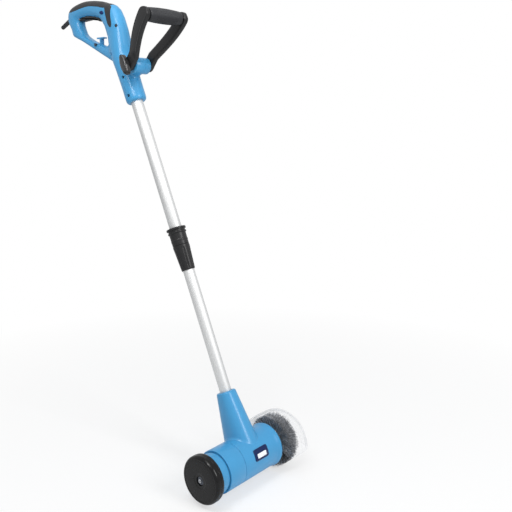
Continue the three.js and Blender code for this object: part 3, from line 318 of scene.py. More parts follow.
def finish_material(name, group, values, plain, bump, depth=0.0002, stretch=None):
    """A material: the group's colour, roughness and height go into one Principled shader, the rest is plain.
    With a stretch, the group reads the shaft's frame, drawn out by that much along each axis."""
    material = bpy.data.materials.new(name)
    material.use_nodes = True
    tree = material.node_tree
    vector = add_node(tree, "TexCoord").outputs["Object"]
    if stretch:
        vector = add_node(tree, "Mapping", {"Vector": vector, "Scale": stretch, "Rotation": (LEAN, 0, 0)},
                          vector_type="TEXTURE").outputs["Vector"]
    skin = add_node(tree, "Group", {"Vector": vector, **values}, node_tree=group).outputs
    relief = add_node(tree, "Bump", {"Strength": bump, "Distance": depth, "Height": skin["Height"]})
    shader = tree.nodes["Principled BSDF"].inputs
    for label, socket in (("Base Color", skin["Color"]), ("Roughness", skin["Roughness"]),
                          ("Normal", relief.outputs["Normal"])):
        tree.links.new(socket, shader[label])
    for label, value in plain.items():
        shader[label].default_value = value
    return material


def moulded(name, colour, grain, drift, gloss, marks, specular, bump, depth=0.0002, coat=None):
    """A moulded plastic, with a clear coat (weight, roughness) where it is polished."""
    plain = {"Specular IOR Level": specular}
    if coat:
        plain["Coat Weight"], plain["Coat Roughness"] = coat
    values = {"Color": rgb(*colour), "Grain": grain, "Drift": drift, "Gloss": gloss, "Marks": marks}
    return finish_material(name, moulded_skin, values, plain, bump, depth)


blue_plastic = moulded(
    "blue_plastic", (66, 149, 199), grain=700.0, drift=0.03, gloss=0.33, marks=0.05, specular=0.36,
    bump=0.04, depth=0.0001, coat=(0.12, 0.12))

NECK_TOP, NECK_FOOT, NECK_POWER, LIP = 120, 6, 2.3, 3
NECK_SIZES = ((17, 17.5), (27.5, 35.9))  # half x and half y at the neck's top and at its foot
NECK_FILLETS = (3.5, 5.5)  # on the wheel side and on the brush side
NECK_SINK = 0.4  # how far the skin's last row goes into the body
BODY_RADIUS, BODY_INNER = 38.5, 35


def neck_point(angle, height, inset=0.0):
    """A point of the neck's skin: a superellipse |x/a|^n + |y/b|^n = 1 whose halves grow towards the foot."""
    share = (NECK_TOP - height) / (NECK_TOP - NECK_FOOT)
    half_x, half_y = (top + (foot - top) * share - inset for top, foot in zip(*NECK_SIZES))
    return half_x * bent(np.cos(angle), NECK_POWER), half_y * bent(np.sin(angle), NECK_POWER)


def neck_skin(columns=144, rows=46, levels=1200):
    """The neck from its bore over the rim down to the body. Each column runs down to where it meets the round
    body, z = sqrt(R^2 - y^2), its rows spaced as (1 - cos)^0.8. Over the last stretch of height h it swings
    out by r - sqrt(r^2 - (r-h)^2), times |cos|^1.2 of its angle."""
    angle, top = circle(columns), NECK_TOP - LIP
    heights = np.linspace(top, 0, levels)[:, None]
    _, y = neck_point(angle[None, :], heights)
    body = np.sqrt(np.maximum(BODY_RADIUS ** 2 - y ** 2, 0))
    foot = heights[np.argmax(heights <= body, axis=0), 0]
    ease = (1 - np.cos(np.linspace(0, math.pi / 2, rows))) ** 0.8
    z = top + (foot[None, :] - top) * (ease / ease[-1])[:, None]
    x, y = neck_point(angle[None, :], z)
    fillet = np.where(np.cos(angle) > 0, *NECK_FILLETS)[None, :]
    above = np.maximum(z - np.sqrt(np.maximum(BODY_RADIUS ** 2 - y ** 2, 0)), 0)
    gap = np.clip(fillet - above, 0, None)
    swing = fillet - np.sqrt(np.maximum(fillet ** 2 - gap ** 2, 0))
    x = x + np.sign(np.cos(angle))[None, :] * swing * np.abs(np.cos(angle))[None, :] ** 1.2
    skin = xyz(x, y, z)
    skin[-1, :, 2] -= NECK_SINK
    rim = []
    for turn in np.linspace(0, math.pi / 2, 7)[:0:-1]:
        rise = top + LIP * math.sin(turn)
        x, y = neck_point(angle, rise, LIP * (1 - math.cos(turn)))
        rim.append(xyz(x, y, rise))
    bore = [ring("z", z, radius, angle)
            for radius, z in ((11.5, 40), (11.5, NECK_TOP - 1.2), (11.5, NECK_TOP - 0.4), (12.2, NECK_TOP))]
    return np.concatenate([np.stack(bore), np.stack(rim), skin])


neck = neck_skin()
body_profile = rounded([(BODY_INNER, 39.6, 0.4), (BODY_RADIUS, 39.6, 0.6), (BODY_RADIUS, -46, 8),
                        (40.6, -52.6, 4), (41.0, -59, 4.2), (BODY_INNER, -59, 0.6)], 1, 5, closed=True)
body_skin = turned(body_profile, "x", 144)
housing_faces = np.concatenate([
    grid_faces(*neck.shape[:2]), grid_faces(*body_skin.shape[:2], loop_rows=True, start=neck[..., 0].size)])
piece("motor_housing", np.concatenate([neck.reshape(-1, 3), body_skin.reshape(-1, 3)]), "head", blue_plastic,
      ("motor_housing_front", "motor_housing_rear"), sharp=50, faces=housing_faces)

# ---- Ring and end cap ----
# Two more blue mouldings close the wheel end. A fine groove parts the ring from the body, and the cap
# steps in behind the guide wheel.
turned_piece("ring_cover", [
    (BODY_INNER, 39.9), (BODY_RADIUS, 39.9, 0.9), (BODY_RADIUS, 78.4, 0.9), (BODY_INNER, 78.4)],
    0.3, 3, "head", blue_plastic, ("motor_ring",))
turned_piece("end_cap_cover", [
    (32.5, 78.7), (34.9, 78.7, 0.5), (34.9, 80.6, 0.3), (35.5, 81.4, 0.5), (35.5, 98.1, 2.2), (5.5, 98.1, 0.5),
    (5.5, 89, 0.3), (11, 89, 0.3), (11, 95.1, 1), (32.5, 95.1, 1)],
    0.3, 4, "head", blue_plastic, ("end_cap",))

# ---- Label ----
# A printed foil stuck on the body's front, navy with round corners. The bare pale panel in its middle is a
# second foil on top of it.
navy_foil = moulded(
    "navy_foil", (13, 34, 80), grain=1500.0, drift=0.04, gloss=0.28, marks=0.05, specular=0.25, bump=0.05,
    depth=0.0001)
white_foil = moulded(
    "white_foil", (238, 241, 244), grain=1500.0, drift=0.02, gloss=0.3, marks=0.05, specular=0.5, bump=0.05,
    depth=0.0001)


def foil(radius, thickness, width, height, middle, corner, middle_x=-3.4, around=64):
    """A rounded rectangle bent round the body: (x, r cos a, r sin a) with a = height along the skin / r. Its
    outline is a superellipse whose cos and sin have the power corner."""
    turn, rings = circle(around), []
    for share, lift in ((0.001, 0), (0.7, 0), (0.97, 0), (1, -0.3), (1, -1), (0.5, -1), (0.001, -1)):
        x = middle_x + width / 2 * bent(np.cos(turn), 2 / corner) * share
        a = middle + height / 2 * bent(np.sin(turn), 2 / corner) * share / radius
        rings.append(ring("x", x, radius + thickness * (1 + lift), a))
    return np.stack(rings)


label_skin = foil(radius=38.8, thickness=0.7, width=36, height=21, middle=0, corner=0.22)
panel_skin = foil(radius=39.8, thickness=0.35, width=23, height=8, middle=-0.065, corner=0.18)
piece("label_foil", label_skin, "head", navy_foil, ("label_plate",), sharp=40, loop=False)
piece("label_window", panel_skin, "head", white_foil, ("label_panel",), sharp=40, loop=False)

# ---- Guide wheel ----
# A moulded black wheel that turns on a stub axle: flat satin face with a turned-in middle, rounded tread
# with a fine moulding line, and a screw with a washer in the middle.
black_plastic = moulded(
    "black_plastic", (32, 32, 33), grain=850.0, drift=0.12, gloss=0.36, marks=0.08, specular=0.3, bump=0.22)
wheel_black = moulded(
    "wheel_black", (12, 12, 13), grain=700.0, drift=0.15, gloss=0.3, marks=0.14, specular=0.03, bump=0.2,
    coat=(0.45, 0.14))
turned_piece("wheel_body", [
    (5.3, 99.4, 0.3), (11, 99.4, 0.6), (11, 113.4, 1), (37.5, 113.4, 1), (37.5, 99.4, 0.8), (41.4, 99.4, 1.4),
    (42.5, 103, 1.5), (42.5, 106.6, 0.2), (42.2, 106.8, 0.2), (42.2, 107.2, 0.2), (42.5, 107.4, 0.2),
    (42.5, 113.6, 2.4), (39.6, 117.4, 2.2), (36.4, 117.4, 0.3), (36.1, 117.0, 0.3), (35.3, 117.0, 0.3),
    (35.0, 117.4, 0.3), (13.5, 117.4, 1), (12.5, 116.9, 1), (8, 116.9, 0.4), (8, 113.9, 0.4), (5.3, 113.9, 0.3)],
    0.3, 4, "guide_wheel", wheel_black, ("guide_wheel",), steps=128)

# Bare metal: two tones along fine lines, the gloss broken by the same lines
METAL_LINES = 260.0  # to a metre
metal_skin, given, result = shader_group("metal_skin", {
    "Low": (0.5, 0.5, 0.5, 1), "High": (1, 1, 1, 1), "Gloss": 0.3, "Marks": 0.08})
metal_lines = noise(metal_skin, given["Vector"], METAL_LINES, 3.0, 0.6)
metal_tone = mixed(metal_skin, spread(metal_skin, metal_lines, 0.0, 1.0), given["Low"], given["High"])
metal_rough = combine(metal_skin, "ADD", given["Gloss"], given["Marks"])
send(metal_skin, result, metal_tone, spread(metal_skin, metal_lines, given["Gloss"], metal_rough), metal_lines)


def drawn(name, low, high, gloss, marks=0.08, bump=0.15, stretch=(1, 1, 1)):
    """A bare metal in two tones, its lines drawn out by the stretch."""
    values = {"Low": rgb(*low), "High": rgb(*high), "Gloss": gloss, "Marks": marks}
    return finish_material(name, metal_skin, values, {"Metallic": 1.0}, bump, stretch=stretch)


bright_steel = drawn("bright_steel", (142, 144, 147), (180, 182, 185), gloss=0.28)
dark_steel = drawn("dark_steel", (62, 66, 74), (96, 100, 108), gloss=0.38)


def cross_head(name, radius, seat, centre, body, material, nodes, shank, height=2.0, steps=64):
    """A pan head along x with its shank. Towards the rim, t from 0 to 1, the radius is R sin(t pi / 2) and the
    dome rises 0.55 h + 0.45 h sqrt(1 - t^4). Two crossed arms sink into it by 0.6 h, their walls
    exp(-(across / 0.14 R)^4), their ends exp(-(along / 0.55 R)^8)."""
    wide, long, deep = 0.14 * radius, 0.55 * radius, 0.6 * height
    across, angle = np.linspace(0, 1, 26)[:, None], circle(steps)
    r = radius * np.sin(across * math.pi / 2)
    rise = height * (0.55 + 0.45 * np.sqrt(1 - across ** 4))
    rise = np.where(across >= 1, 0.25 * height, rise)
    y, z = r * np.cos(angle), r * np.sin(angle)
    slot = np.maximum(np.exp(-(y / wide) ** 4) * np.exp(-(z / long) ** 8),
                      np.exp(-(z / wide) ** 4) * np.exp(-(y / long) ** 8))
    low = np.stack([ring("x", at, q, angle)
                    for at, q in ((seat, radius), (seat, shank[0]), (shank[1], shank[0]), (shank[1], 0))])
    points = np.concatenate([xyz(seat + rise - slot * deep, y, z), low]) + np.array([0, *centre])
    piece(name, points, body, material, nodes, sharp=35, loop=False)


cross_head("wheel_bolt", 3.4, 115.2, (0, 0), "head", bright_steel, ("wheel_screw",), shank=(2.0, 103.2))
turned_piece("wheel_washer", [(2.4, 114.2), (7.3, 114.2), (7.3, 115.2, 0.4), (2.4, 115.2)], 0.2, 3,
             "head", dark_steel)

# ---- Shaft tubes ----
# Two bright drawn aluminium tubes, the lower one sliding in the upper one. The lower tube is fixed in the
# neck of the motor housing, the upper one in the handle.
aluminium = drawn("aluminium", (209, 210, 210), (217, 217, 217), gloss=0.56, marks=0.04, bump=0.02,
                  stretch=(1, 1, 80))
for name, node, outer, inner, low, high, body in (
        ("upper_shaft", "upper_tube", 12, 11.3, 417, 790, "handle"),
        ("lower_shaft", "lower_tube", 11, 10, 58, 567, "head")):
    turned_piece(name, [(inner, low), (outer, low, 0.3), (outer, high, 0.3), (inner, high)], 0.2, 2,
                 body, aluminium, (node,), axis="z", steps=64)

# ---- Twist lock ----
# A black moulded sleeve is fixed to the upper tube; the tapered nut below it is turned to grip the lower
# tube. The sleeve has two flanges, the nut six flutes.
turned_piece("lock_sleeve", [
    (12.15, 440, 0.3), (12.15, 417.3, 0), (12.5, 393, 0), (14.2, 393, 0.2), (14.2, 405.6, 0), (16, 405.6, 0.5),
    (16, 413, 0.3), (16.4, 414, 0.3), (16.4, 416, 0.3), (16, 417, 0.3), (16.2, 429, 1), (18, 429.4, 0.7),
    (18, 432, 0.7), (16.4, 432.6, 0.5), (16.4, 435.6, 0.5), (19, 436, 0.9), (19, 440, 0.9)],
    0.4, 4, "handle", black_plastic, ("collar_sleeve",), axis="z", steps=72)

NUT_LEVELS = (  # radius, height, depth of the flutes
    (11.35, 356, 0), (12.2, 356, 0), (12.9, 356.8, 0.3), (13.2, 359, 1.0), (13.7, 366, 1.4),
    (14.6, 380, 1.4), (15.4, 392, 1.3), (15.9, 398, 0.6), (16.05, 400.4, 0), (16.2, 401, 0),
    (16.2, 404.4, 0), (15.8, 404.9, 0), (14.6, 404.9, 0), (14.6, 392, 0), (13, 380, 0), (11.35, 360, 0))


def lock_nut(columns=180, flutes=6, power=6):
    """The nut: a taper whose wall dips into six flutes, by the level's depth times (cos 6a)^6 where cos 6a
    is above 0."""
    angle = circle(columns)
    flute = np.clip(np.cos(flutes * angle), 0, None) ** power
    return np.stack([ring("z", z, radius - depth * flute, angle) for radius, z, depth in NUT_LEVELS])


piece("lock_nut_body", lock_nut(), "lock_nut", black_plastic, ("collar_nut",), sharp=35)

# ---- Joint brush ----
# Dark crimped nylon strands, a few of them painted pale all along as glints, set all round a hub in four
# rings and held between two pressed steel plates and a nut on the gearbox spindle.
BRISTLE_TIP, BRISTLE_ROOT, FAN_MIDDLE = 48.7, 23.2, -86.5
RING_START, RING_PITCH, RING_GAP, RING_WIDE = -77, 4.7, 0.3, 4.4

# Nylon: dark, with painted glints: a few strands painted pale, and painted highlights from a fine noise along
# them
strand_skin, given, result = shader_group("strand_skin", {"Low": (0.5, 0.5, 0.5, 1), "High": (1, 1, 1, 1)})
strand_fine = noise(strand_skin, given["Vector"], 420.0, 1.0)
strand_glint = add_node(strand_skin, "Attribute", attribute_name="tone").outputs["Fac"]
# Painted highlight: each strand's glint share, made patchy by the fine noise
strand_glint_share = combine(strand_skin, "MULTIPLY", strand_glint, spread(strand_skin, strand_fine, 0.4, 1.4))
send(strand_skin, result, mixed(strand_skin, strand_glint_share, given["Low"], given["High"]),
     spread(strand_skin, strand_fine, 0.3, 0.55), strand_fine)
# The High colour is the painted glint; the Low colour is the nylon's own dark grey
nylon = finish_material("nylon", strand_skin, {"Low": rgb(34, 38, 46), "High": rgb(226, 230, 238)},
                        {"Specular IOR Level": 0.6}, 0.1)


def strands(row, low, count=1500, steps=7, half=0.3):
    """Crimped strands of three sides, each set by its own seeded draws. At t from root to tip a strand has
    turned by lean t^1.5 and gone fan t^1.5 along the axis. The crimp 0.75 sin(5 pi t + phase), which grows
    over the first third, shows 0.7 of itself round the axis and 0.5 cos(phase) along it."""
    chance = np.random.default_rng(40 + row)
    x = chance.uniform(low + 0.4, low + 4.0, count)[:, None]
    angle = (circle(count) + chance.uniform(-0.02, 0.02, count))[:, None]
    t = np.linspace(0, 1, steps + 1)[None, :]
    off = x - FAN_MIDDLE
    fan = np.maximum(off, 0.25 * off) * 0.9 + chance.normal(0, 1.6, (count, 1))
    lean = chance.normal(0, 0.05, (count, 1))
    phase = chance.uniform(0, 2 * math.pi, (count, 1))
    tip = BRISTLE_TIP - 11 * chance.uniform(0, 1, (count, 1)) ** 1.4
    radius = BRISTLE_ROOT + (tip - BRISTLE_ROOT) * t
    wave = 0.75 * np.sin(5 * math.pi * t + phase) * np.minimum(1, 3 * t)
    turn = (angle + lean * t ** 1.5 + wave * 0.7 / radius)[..., None]
    along = (x + fan * t ** 1.5 + wave * 0.5 * np.cos(phase))[..., None]
    radius, side = radius[..., None], half * np.sin(circle(3))
    points = xyz(along + half * np.cos(circle(3)), radius * np.cos(turn) - side * np.sin(turn),
                 radius * np.sin(turn) + side * np.cos(turn))
    base = np.arange(count)[:, None, None] * (steps + 1) * 3
    walls = grid_faces(steps + 1, 3)[None] + base
    roots = np.array([[0, 2, 1]]) + base[:, 0]
    tips = np.array([[0, 1, 2]]) + base[:, 0] + steps * 3
    # Painted glints: a few strands, drawn at random as u^5, take the pale colour along their whole length
    tone = np.broadcast_to(chance.uniform(0, 1, (count, 1, 1)) ** 5, (count, steps + 1, 3))
    faces = [*walls.reshape(-1, 4).tolist(), *roots.tolist(), *tips.tolist()]
    return points.reshape(-1, 3), faces, tone.ravel()


for row in range(4):
    name, low = f"bristles_{row + 1}", RING_START - (row + 1) * RING_PITCH + RING_GAP
    points, faces, tone = strands(row, low)
    high = low + RING_WIDE
    corners = [(19, low), (24.4, low, 0.6), (24.4, high, 0.6), (19, high)]
    backing = turned(rounded(corners, 0.3, 3, closed=True), "x", 72)
    faces += grid_faces(*backing.shape[:2], loop_rows=True, start=len(points)).tolist()
    backing = backing.reshape(-1, 3)
    mesh = bpy.data.meshes.new(name)
    mesh.from_pydata(stand(np.concatenate([points, backing])).tolist(), [], faces)
    # The backing ring gets almost no painted glint
    point_glint = np.concatenate([tone, np.full(len(backing), 0.05)])
    mesh.attributes.new("tone", "FLOAT", "POINT").data.foreach_set("value", point_glint.astype(np.float32))
    dress(bpy.data.objects.new(name, mesh), "brush", nylon, (f"bristle_ring_{row + 1}",), 60)

for name, node, seat, way in (("inner_plate", "brush_plate_inner", -76.7, 1),
                              ("outer_plate", "brush_plate_outer", -95.8, -1)):
    middle, sheet = seat + 2.4 * way, 1.2 * way
    turned_piece(name, [
        (6.45, middle), (11.6, middle, 1), (14, seat, 1), (24, seat, 0.4), (24, seat + sheet, 0.6),
        (14.5, seat + sheet, 1), (12.1, middle + sheet, 1), (6.45, middle + sheet)],
        0.3, 4, "brush", bright_steel, (node,), steps=80)

# The nut has a round flange, six flats 17 mm across with their corners turned off, and a bevelled end
nut_turn = circle(96)
flats = 8.5 / np.cos((nut_turn + math.pi / 6) % (math.pi / 3) - math.pi / 6)
nut_side, nut_bevel, nut_end = (
    np.minimum(flats * size, most) for size, most in ((1, 9.7), (0.92, 9.35), (0.85, 9.35)))
nut_wall = np.stack([ring("x", x, radius, nut_turn) for x, radius in (
    (-99.8, 6.3), (-99.8, 10), (-101, 10), (-101, nut_side), (-101.3, nut_side), (-106, nut_side),
    (-106.9, nut_bevel), (-107, nut_end), (-107, 6.3))])
piece("brush_nut", nut_wall, "brush", bright_steel, ("spindle_nut",), sharp=30)

# ---- Splash guard ----
# A blown clear cover over the front, top and back of the brush: a cylinder with a domed end, two low
# ribs round it and a flat seat against the motor housing.
clear_plastic = moulded(
    "clear_plastic", (226, 229, 234), grain=60.0, drift=0.02, gloss=0.12, marks=0.05, specular=0.45,
    bump=0.05, depth=0.0003)
# Nearly clear where it is looked at straight on, and milkier along its edges
clear_tree = clear_plastic.node_tree
clear_edge = add_node(clear_tree, "LayerWeight", {"Blend": 0.35})
clear_veil = add_node(clear_tree, "MapRange", {
    "Value": clear_edge.outputs["Facing"], "From Min": 0.3, "From Max": 1.0, "To Min": 0.05, "To Max": 0.5})
clear_tree.links.new(clear_veil.outputs["Result"], clear_tree.nodes["Principled BSDF"].inputs["Alpha"])
GUARD_DROP, GUARD_BORE = 7, 36.5
GUARD_PROFILES = (
    [(61, -59.3), (61, -68, 0.5), (62, -69, 0.8), (62, -71, 0.8), (61, -72, 0.5), (61, -86, 0.5), (62, -87, 0.8),
     (62, -89, 0.8), (61, -90, 0.5), (61, -105, 9), (52, -116.6, 9), (38, -119, 4), (24, -119)],
    [(59, -61.3), (59, -68, 0.5), (60, -69.3, 0.8), (60, -70.7, 0.8), (59, -72, 0.5), (59, -86, 0.5),
     (60, -87.3, 0.8), (60, -88.7, 0.8), (59, -90, 0.5), (59, -104, 8.4), (51, -114.8, 8.4), (38, -117, 4),
     (24, -117)])


def guard_skin(columns=120):
    """The guard's wall: an outer and an inner profile (radius, x), carried from -26 to 150 degrees round a
    centre 7 mm under the head's axis. The seat's inner edge is a circle round the axis itself."""
    angle = np.radians(np.linspace(-26, 150, columns))[:, None]
    share = np.linspace(0, 1, 9)[:-1, None, None]
    out = []
    for profile in GUARD_PROFILES:
        radius, x = rounded(profile, 1, 5).T
        wall = ring("x", x, radius, angle) - np.array([0, 0, GUARD_DROP])
        edge = ring("x", x[0], GUARD_BORE, angle[:, 0])
        flat = edge[None] * (1 - share) + wall[None, :, 0] * share
        out.append(np.concatenate([flat.transpose(1, 0, 2), wall], 1))
    return out


guard_outer, guard_inner = guard_skin()
guard_loop = np.concatenate([guard_outer, guard_inner[:, ::-1]], 1)
guard_columns, guard_rows = guard_loop.shape[:2]
guard_faces = grid_faces(guard_columns, guard_rows).tolist()
for first in (0, (guard_columns - 1) * guard_rows):
    guard_faces += [(first + k, first + k + 1, first + guard_rows - 2 - k, first + guard_rows - 1 - k)
                    for k in range(guard_rows // 2 - 1)]
piece("splash_cover", guard_loop, "head", clear_plastic, ("splash_guard",), sharp=50, faces=guard_faces)

# ---- Handle ----
# The handle's two blue halves: a socket for the upper tube, a barrel that leans into a nose, the D-grip
# behind it, a boss for the loop handle and a small hook for the cable. All edges are moulded round.
HANDLE = 704  # the handle's foot above the head's axis
BOSS = np.array([0, 39.3, HANDLE + 59])
BEND_SEAT = (0, -121, HANDLE + 248.5)
GRIP_OUTER = [
    (12, 196), (5, 214), (-16, 231.5), (-50, 250.6), (-80, 260.5), (-104, 263.4), (-118, 257), (-124, 242),
    (-122, 224), (-123, 209), (-116, 200.5), (-97, 181), (-70, 150), (-40, 116), (-16, 92), (6, 96),
    (15, 125), (16, 165)]
GRIP_HOLE = [
    (-86, 228), (-60, 219.5), (-28, 198.5), (-16, 180), (-13.5, 156), (-20, 141), (-32, 138.5),
    (-52, 154.5), (-69, 170), (-87, 191), (-91.5, 205), (-92, 219)]
GRIP_MIDDLE, GRIP_POWER = (-51, 187), 2.5


def smooth_loop(points, count=400):
    """A closed Catmull-Rom curve through points: each span is the cubic with the chord tangents
    (next - previous) / 2."""
    p = np.array(points, float)
    t = np.linspace(0, len(p), count, endpoint=False)
    k = t.astype(int)
    u = (t - k)[:, None]
    a, b, c, d = (p[(k + s) % len(p)] for s in (-1, 0, 1, 2))
    return 0.5 * (2 * b + (c - a) * u + (2 * a - 5 * b + 4 * c - d) * u ** 2 + (3 * b - a - 3 * c + d) * u ** 3)


def along_rays(outline, angles):
    """Distance from the grip's middle to an outline in each direction."""
    curve = smooth_loop(outline, 1600) - np.array(GRIP_MIDDLE)
    at = np.arctan2(curve[:, 1], curve[:, 0])
    order = np.argsort(at)
    return np.interp(angles, at[order], np.hypot(*curve.T)[order], period=2 * math.pi)


def grip_ring(columns=260, around=96):
    """The D-grip: round its middle the section is a superellipse between the hole's and the outer outline,
    n = 2.5, its half width across changing from rear bar to palm to nose."""
    angle = np.linspace(-math.pi, math.pi, columns, endpoint=False)
    inner, outer = along_rays(GRIP_HOLE, angle), along_rays(GRIP_OUTER, angle)
    width = np.interp(np.degrees(angle), (-180, -140, -95, -60, -25, 20, 60, 100, 130, 155, 180),
                      (12.5, 12, 12, 14.5, 17.5, 18, 16.5, 15.5, 15, 13.5, 12.5))
    turn = circle(around)[:, None]
    reach = (inner + outer) / 2 + (outer - inner) / 2 * bent(np.cos(turn), GRIP_POWER)
    x = width * bent(np.sin(turn), GRIP_POWER)
    y = GRIP_MIDDLE[0] + reach * np.cos(angle)
    z = GRIP_MIDDLE[1] + reach * np.sin(angle) + HANDLE
    return xyz(x.T, y.T, z.T)


def barrel(around=160):
    """The barrel: superellipse sections up the shaft, with the rear and front edge, half width and power
    of each height read between the rows below."""
    rows = np.array([  # up, rear edge, front edge, half width, power
        (0, -16.3, 16.3, 16.3, 2), (0.8, -18.2, 18.2, 18.2, 2), (2.5, -19.6, 19.6, 19.6, 2),
        (6, -20.3, 20.3, 20.3, 2), (38, -20.5, 20.5, 20.5, 2), (73, -21.3, 20.8, 21.4, 2.05),
        (98, -22.5, 21.6, 22.4, 2.1), (123, -22, 25.6, 21.4, 2.2), (148, -17, 29.2, 18.6, 2.4),
        (172, -17, 29.4, 18, 2.5), (190, -22, 27, 17.8, 2.5), (202, -24, 21, 16.5, 2.4),
        (211, -26, 11.5, 13.5, 2.3), (216, -26, 2.5, 9.5, 2.2), (218.5, -24, -6, 5, 2)])
    up = np.unique(np.concatenate([np.linspace(0, rows[-1, 0], 160), rows[:, 0]]))
    rear, front, wide, power = (np.interp(up, rows[:, 0], rows[:, k])[:, None] for k in range(1, 5))
    turn = circle(around)[None, :]
    x = wide * bent(np.cos(turn), power)
    y = (rear + front) / 2 + (front - rear) / 2 * bent(np.sin(turn), power)
    return xyz(x, y, (up + HANDLE)[:, None])


def closed_mesh(name, *grids, hoops=0):
    """Grids of points as one linked object. The first hoops of them close on themselves, section by section;
    each of the others closes with a face at either end."""
    points, faces, start = [], [], 0
    for k, grid in enumerate(grids):
        rows, columns = grid.shape[:2]
        faces += grid_faces(rows, columns, loop_rows=k < hoops, start=start).tolist()
        if k >= hoops:
            faces.append(list(range(start + columns - 1, start - 1, -1)))
            faces.append(list(range(start + (rows - 1) * columns, start + rows * columns)))
        points.append(grid.reshape(-1, 3))
        start += rows * columns
    mesh = bpy.data.meshes.new(name)
    mesh.from_pydata(stand(np.concatenate(points)).tolist(), [], faces)
    face_out(mesh)
    thing = bpy.data.objects.new(name, mesh)
    bpy.context.collection.objects.link(thing)
    return thing


def bar(x0, x1, centre, size, tilt=0.0):
    """A box from x0 to x1 with half sizes (y, z) round a (y, z) centre, tilted in that plane: a 2 by 4 grid."""
    y, z = np.array([-1, 1, 1, -1]) * size[0], np.array([-1, -1, 1, 1]) * size[1]
    c, s = math.cos(tilt), math.sin(tilt)
    return np.stack([xyz(x, y * c - z * s + centre[0], y * s + z * c + centre[1]) for x in (x0, x1)])


def pipe(axis, radius, low, high, centre=(0, 0, 0), steps=48, soft=0.0):
    """A plain rod as a grid of rings, its end edges cut back by soft."""
    levels = [(radius, low), (radius, high)]
    if soft:
        levels = [(radius - soft, low), (radius, low + soft), (radius, high - soft), (radius - soft, high)]
    return turned(levels, axis, steps, centre).transpose(1, 0, 2)


def flat_at(x, outline):
    """A (forward, up) outline on the handle as a ring of points at x."""
    y, z = np.asarray(outline, float).T
    return xyz(x, y, z + HANDLE)


def plate(outline, x0, x1):
    """A (forward, up) outline carried from x0 to x1."""
    return np.stack([flat_at(x, outline) for x in (x0, x1)])


def apply_modifiers(thing):
    """Bakes an object's modifiers into a new mesh."""
    graph = bpy.context.evaluated_depsgraph_get()
    baked = bpy.data.meshes.new_from_object(thing.evaluated_get(graph))
    thing.modifiers.clear()
    thing.data = baked


def carve(thing, tool, kind, keep=False):
    """A union, difference or intersection with a tool, which goes afterwards unless it is kept."""
    cutter = thing.modifiers.new("carve", "BOOLEAN")
    cutter.operation, cutter.solver, cutter.object = kind, "MANIFOLD", tool
    apply_modifiers(thing)
    if not keep:
        bpy.data.objects.remove(tool)


def twin(thing, name):
    """A linked copy of an object, with a mesh of its own."""
    made = thing.copy()
    made.data = thing.data.copy()
    made.name = name
    bpy.context.collection.objects.link(made)
    return made


# The solids are fused as voxels and smoothed, which rounds every inner corner, and only then get their
# crisp parts: the boss's clamp ring and the hook's two bars
handle_form = closed_mesh("handle_form", grip_ring(), barrel(),
                          pipe("y", 14.5, 2, BOSS[1], (0, 0, BOSS[2]), 64), hoops=1)
voxels = handle_form.modifiers.new("fuse", "REMESH")
voxels.mode = "VOXEL"
voxels.voxel_size = 0.001
soften = handle_form.modifiers.new("soften", "SMOOTH")
soften.factor, soften.iterations = 0.5, 36
apply_modifiers(handle_form)
HOOK_TILT = math.radians(-24)
hook_out = np.array([math.sin(-HOOK_TILT), math.cos(HOOK_TILT)])
hook_seat = np.array([-49.0, HANDLE + 156])
for grid in (pipe("x", 15.8, -14.7, 20.7, BOSS, 96, 0.8),
             bar(-4.5, 4.5, hook_seat - hook_out * 3, (1.7, 11), HOOK_TILT),
             bar(-4.5, 4.5, hook_seat + hook_out * 8.6, (11.2, 1.3), HOOK_TILT)):
    carve(handle_form, closed_mesh("added", grid), "UNION")

SOFT_BAND = [
    (-132, 262), (-112, 257), (-95, 249.5), (-66, 241), (-39, 231), (-14, 216), (-3, 208), (6, 203),
    (24, 203), (32, 214), (6, 244), (-50, 279), (-112, 288)]
SOFT_STRIP = [
    (0, 214), (5.5, 203), (5, 190), (4, 178), (4, 166), (8.5, 157.5), (13.5, 161), (16.5, 178), (20, 194),
    (20, 206), (8, 214)]
SOFT_SEAM = 0.3
TRIGGER_SLOT = [
    (-92.4, 236), (-76, 233), (-57.5, 228), (-38, 218.2), (-25.4, 210.3), (-20.8, 202), (-22.5, 194),
    (-26, 187), (-44, 200), (-60, 208), (-90.2, 214)]
BOLTS = (  # forward, up, x of the head's seat, x of the shank's tip
    (-55, 153, 13, -7), (-10, 108, 13, -7), (22, 154, 13, -7), (4, 51, 16, 12.6), (3, 12, 16, 12.6))
BUTTON_SIZE, BUTTON_TILT, BUTTON_MIDDLE = (5.6, 3.3), math.radians(-38), (-4, 196.5)


def grown(outline, distance):
    """The outline with each point moved out along its own normal."""
    p = np.asarray(outline, float)
    edge = np.roll(p, -1, 0) - np.roll(p, 1, 0)
    normal = np.stack([edge[:, 1], -edge[:, 0]], -1) / np.linalg.norm(edge, axis=1)[:, None]
    area = np.sum(p[:, 0] * np.roll(p[:, 1], -1) - np.roll(p[:, 0], -1) * p[:, 1])
    return p + normal * distance * (1 if area > 0 else -1)


def soft_region(name, extra):
    """The soft cover's room: the band right across, stepped in by 1.2 mm in the middle so that no seam runs
    straight through, and a strip down each side of the nose."""
    band, strip = smooth_loop(SOFT_BAND, 120), grown(smooth_loop(SOFT_STRIP, 80), extra)
    steps = ((-40, 0), (-6, 0), (-5, -1.2), (5, -1.2), (6, 0), (40, 0))
    region = closed_mesh(name, np.stack([flat_at(x, grown(band, extra + inset)) for x, inset in steps]))
    carve(region, closed_mesh("strips", plate(strip, 10 - extra, 40), plate(strip, -40, extra - 10)), "UNION")
    return region


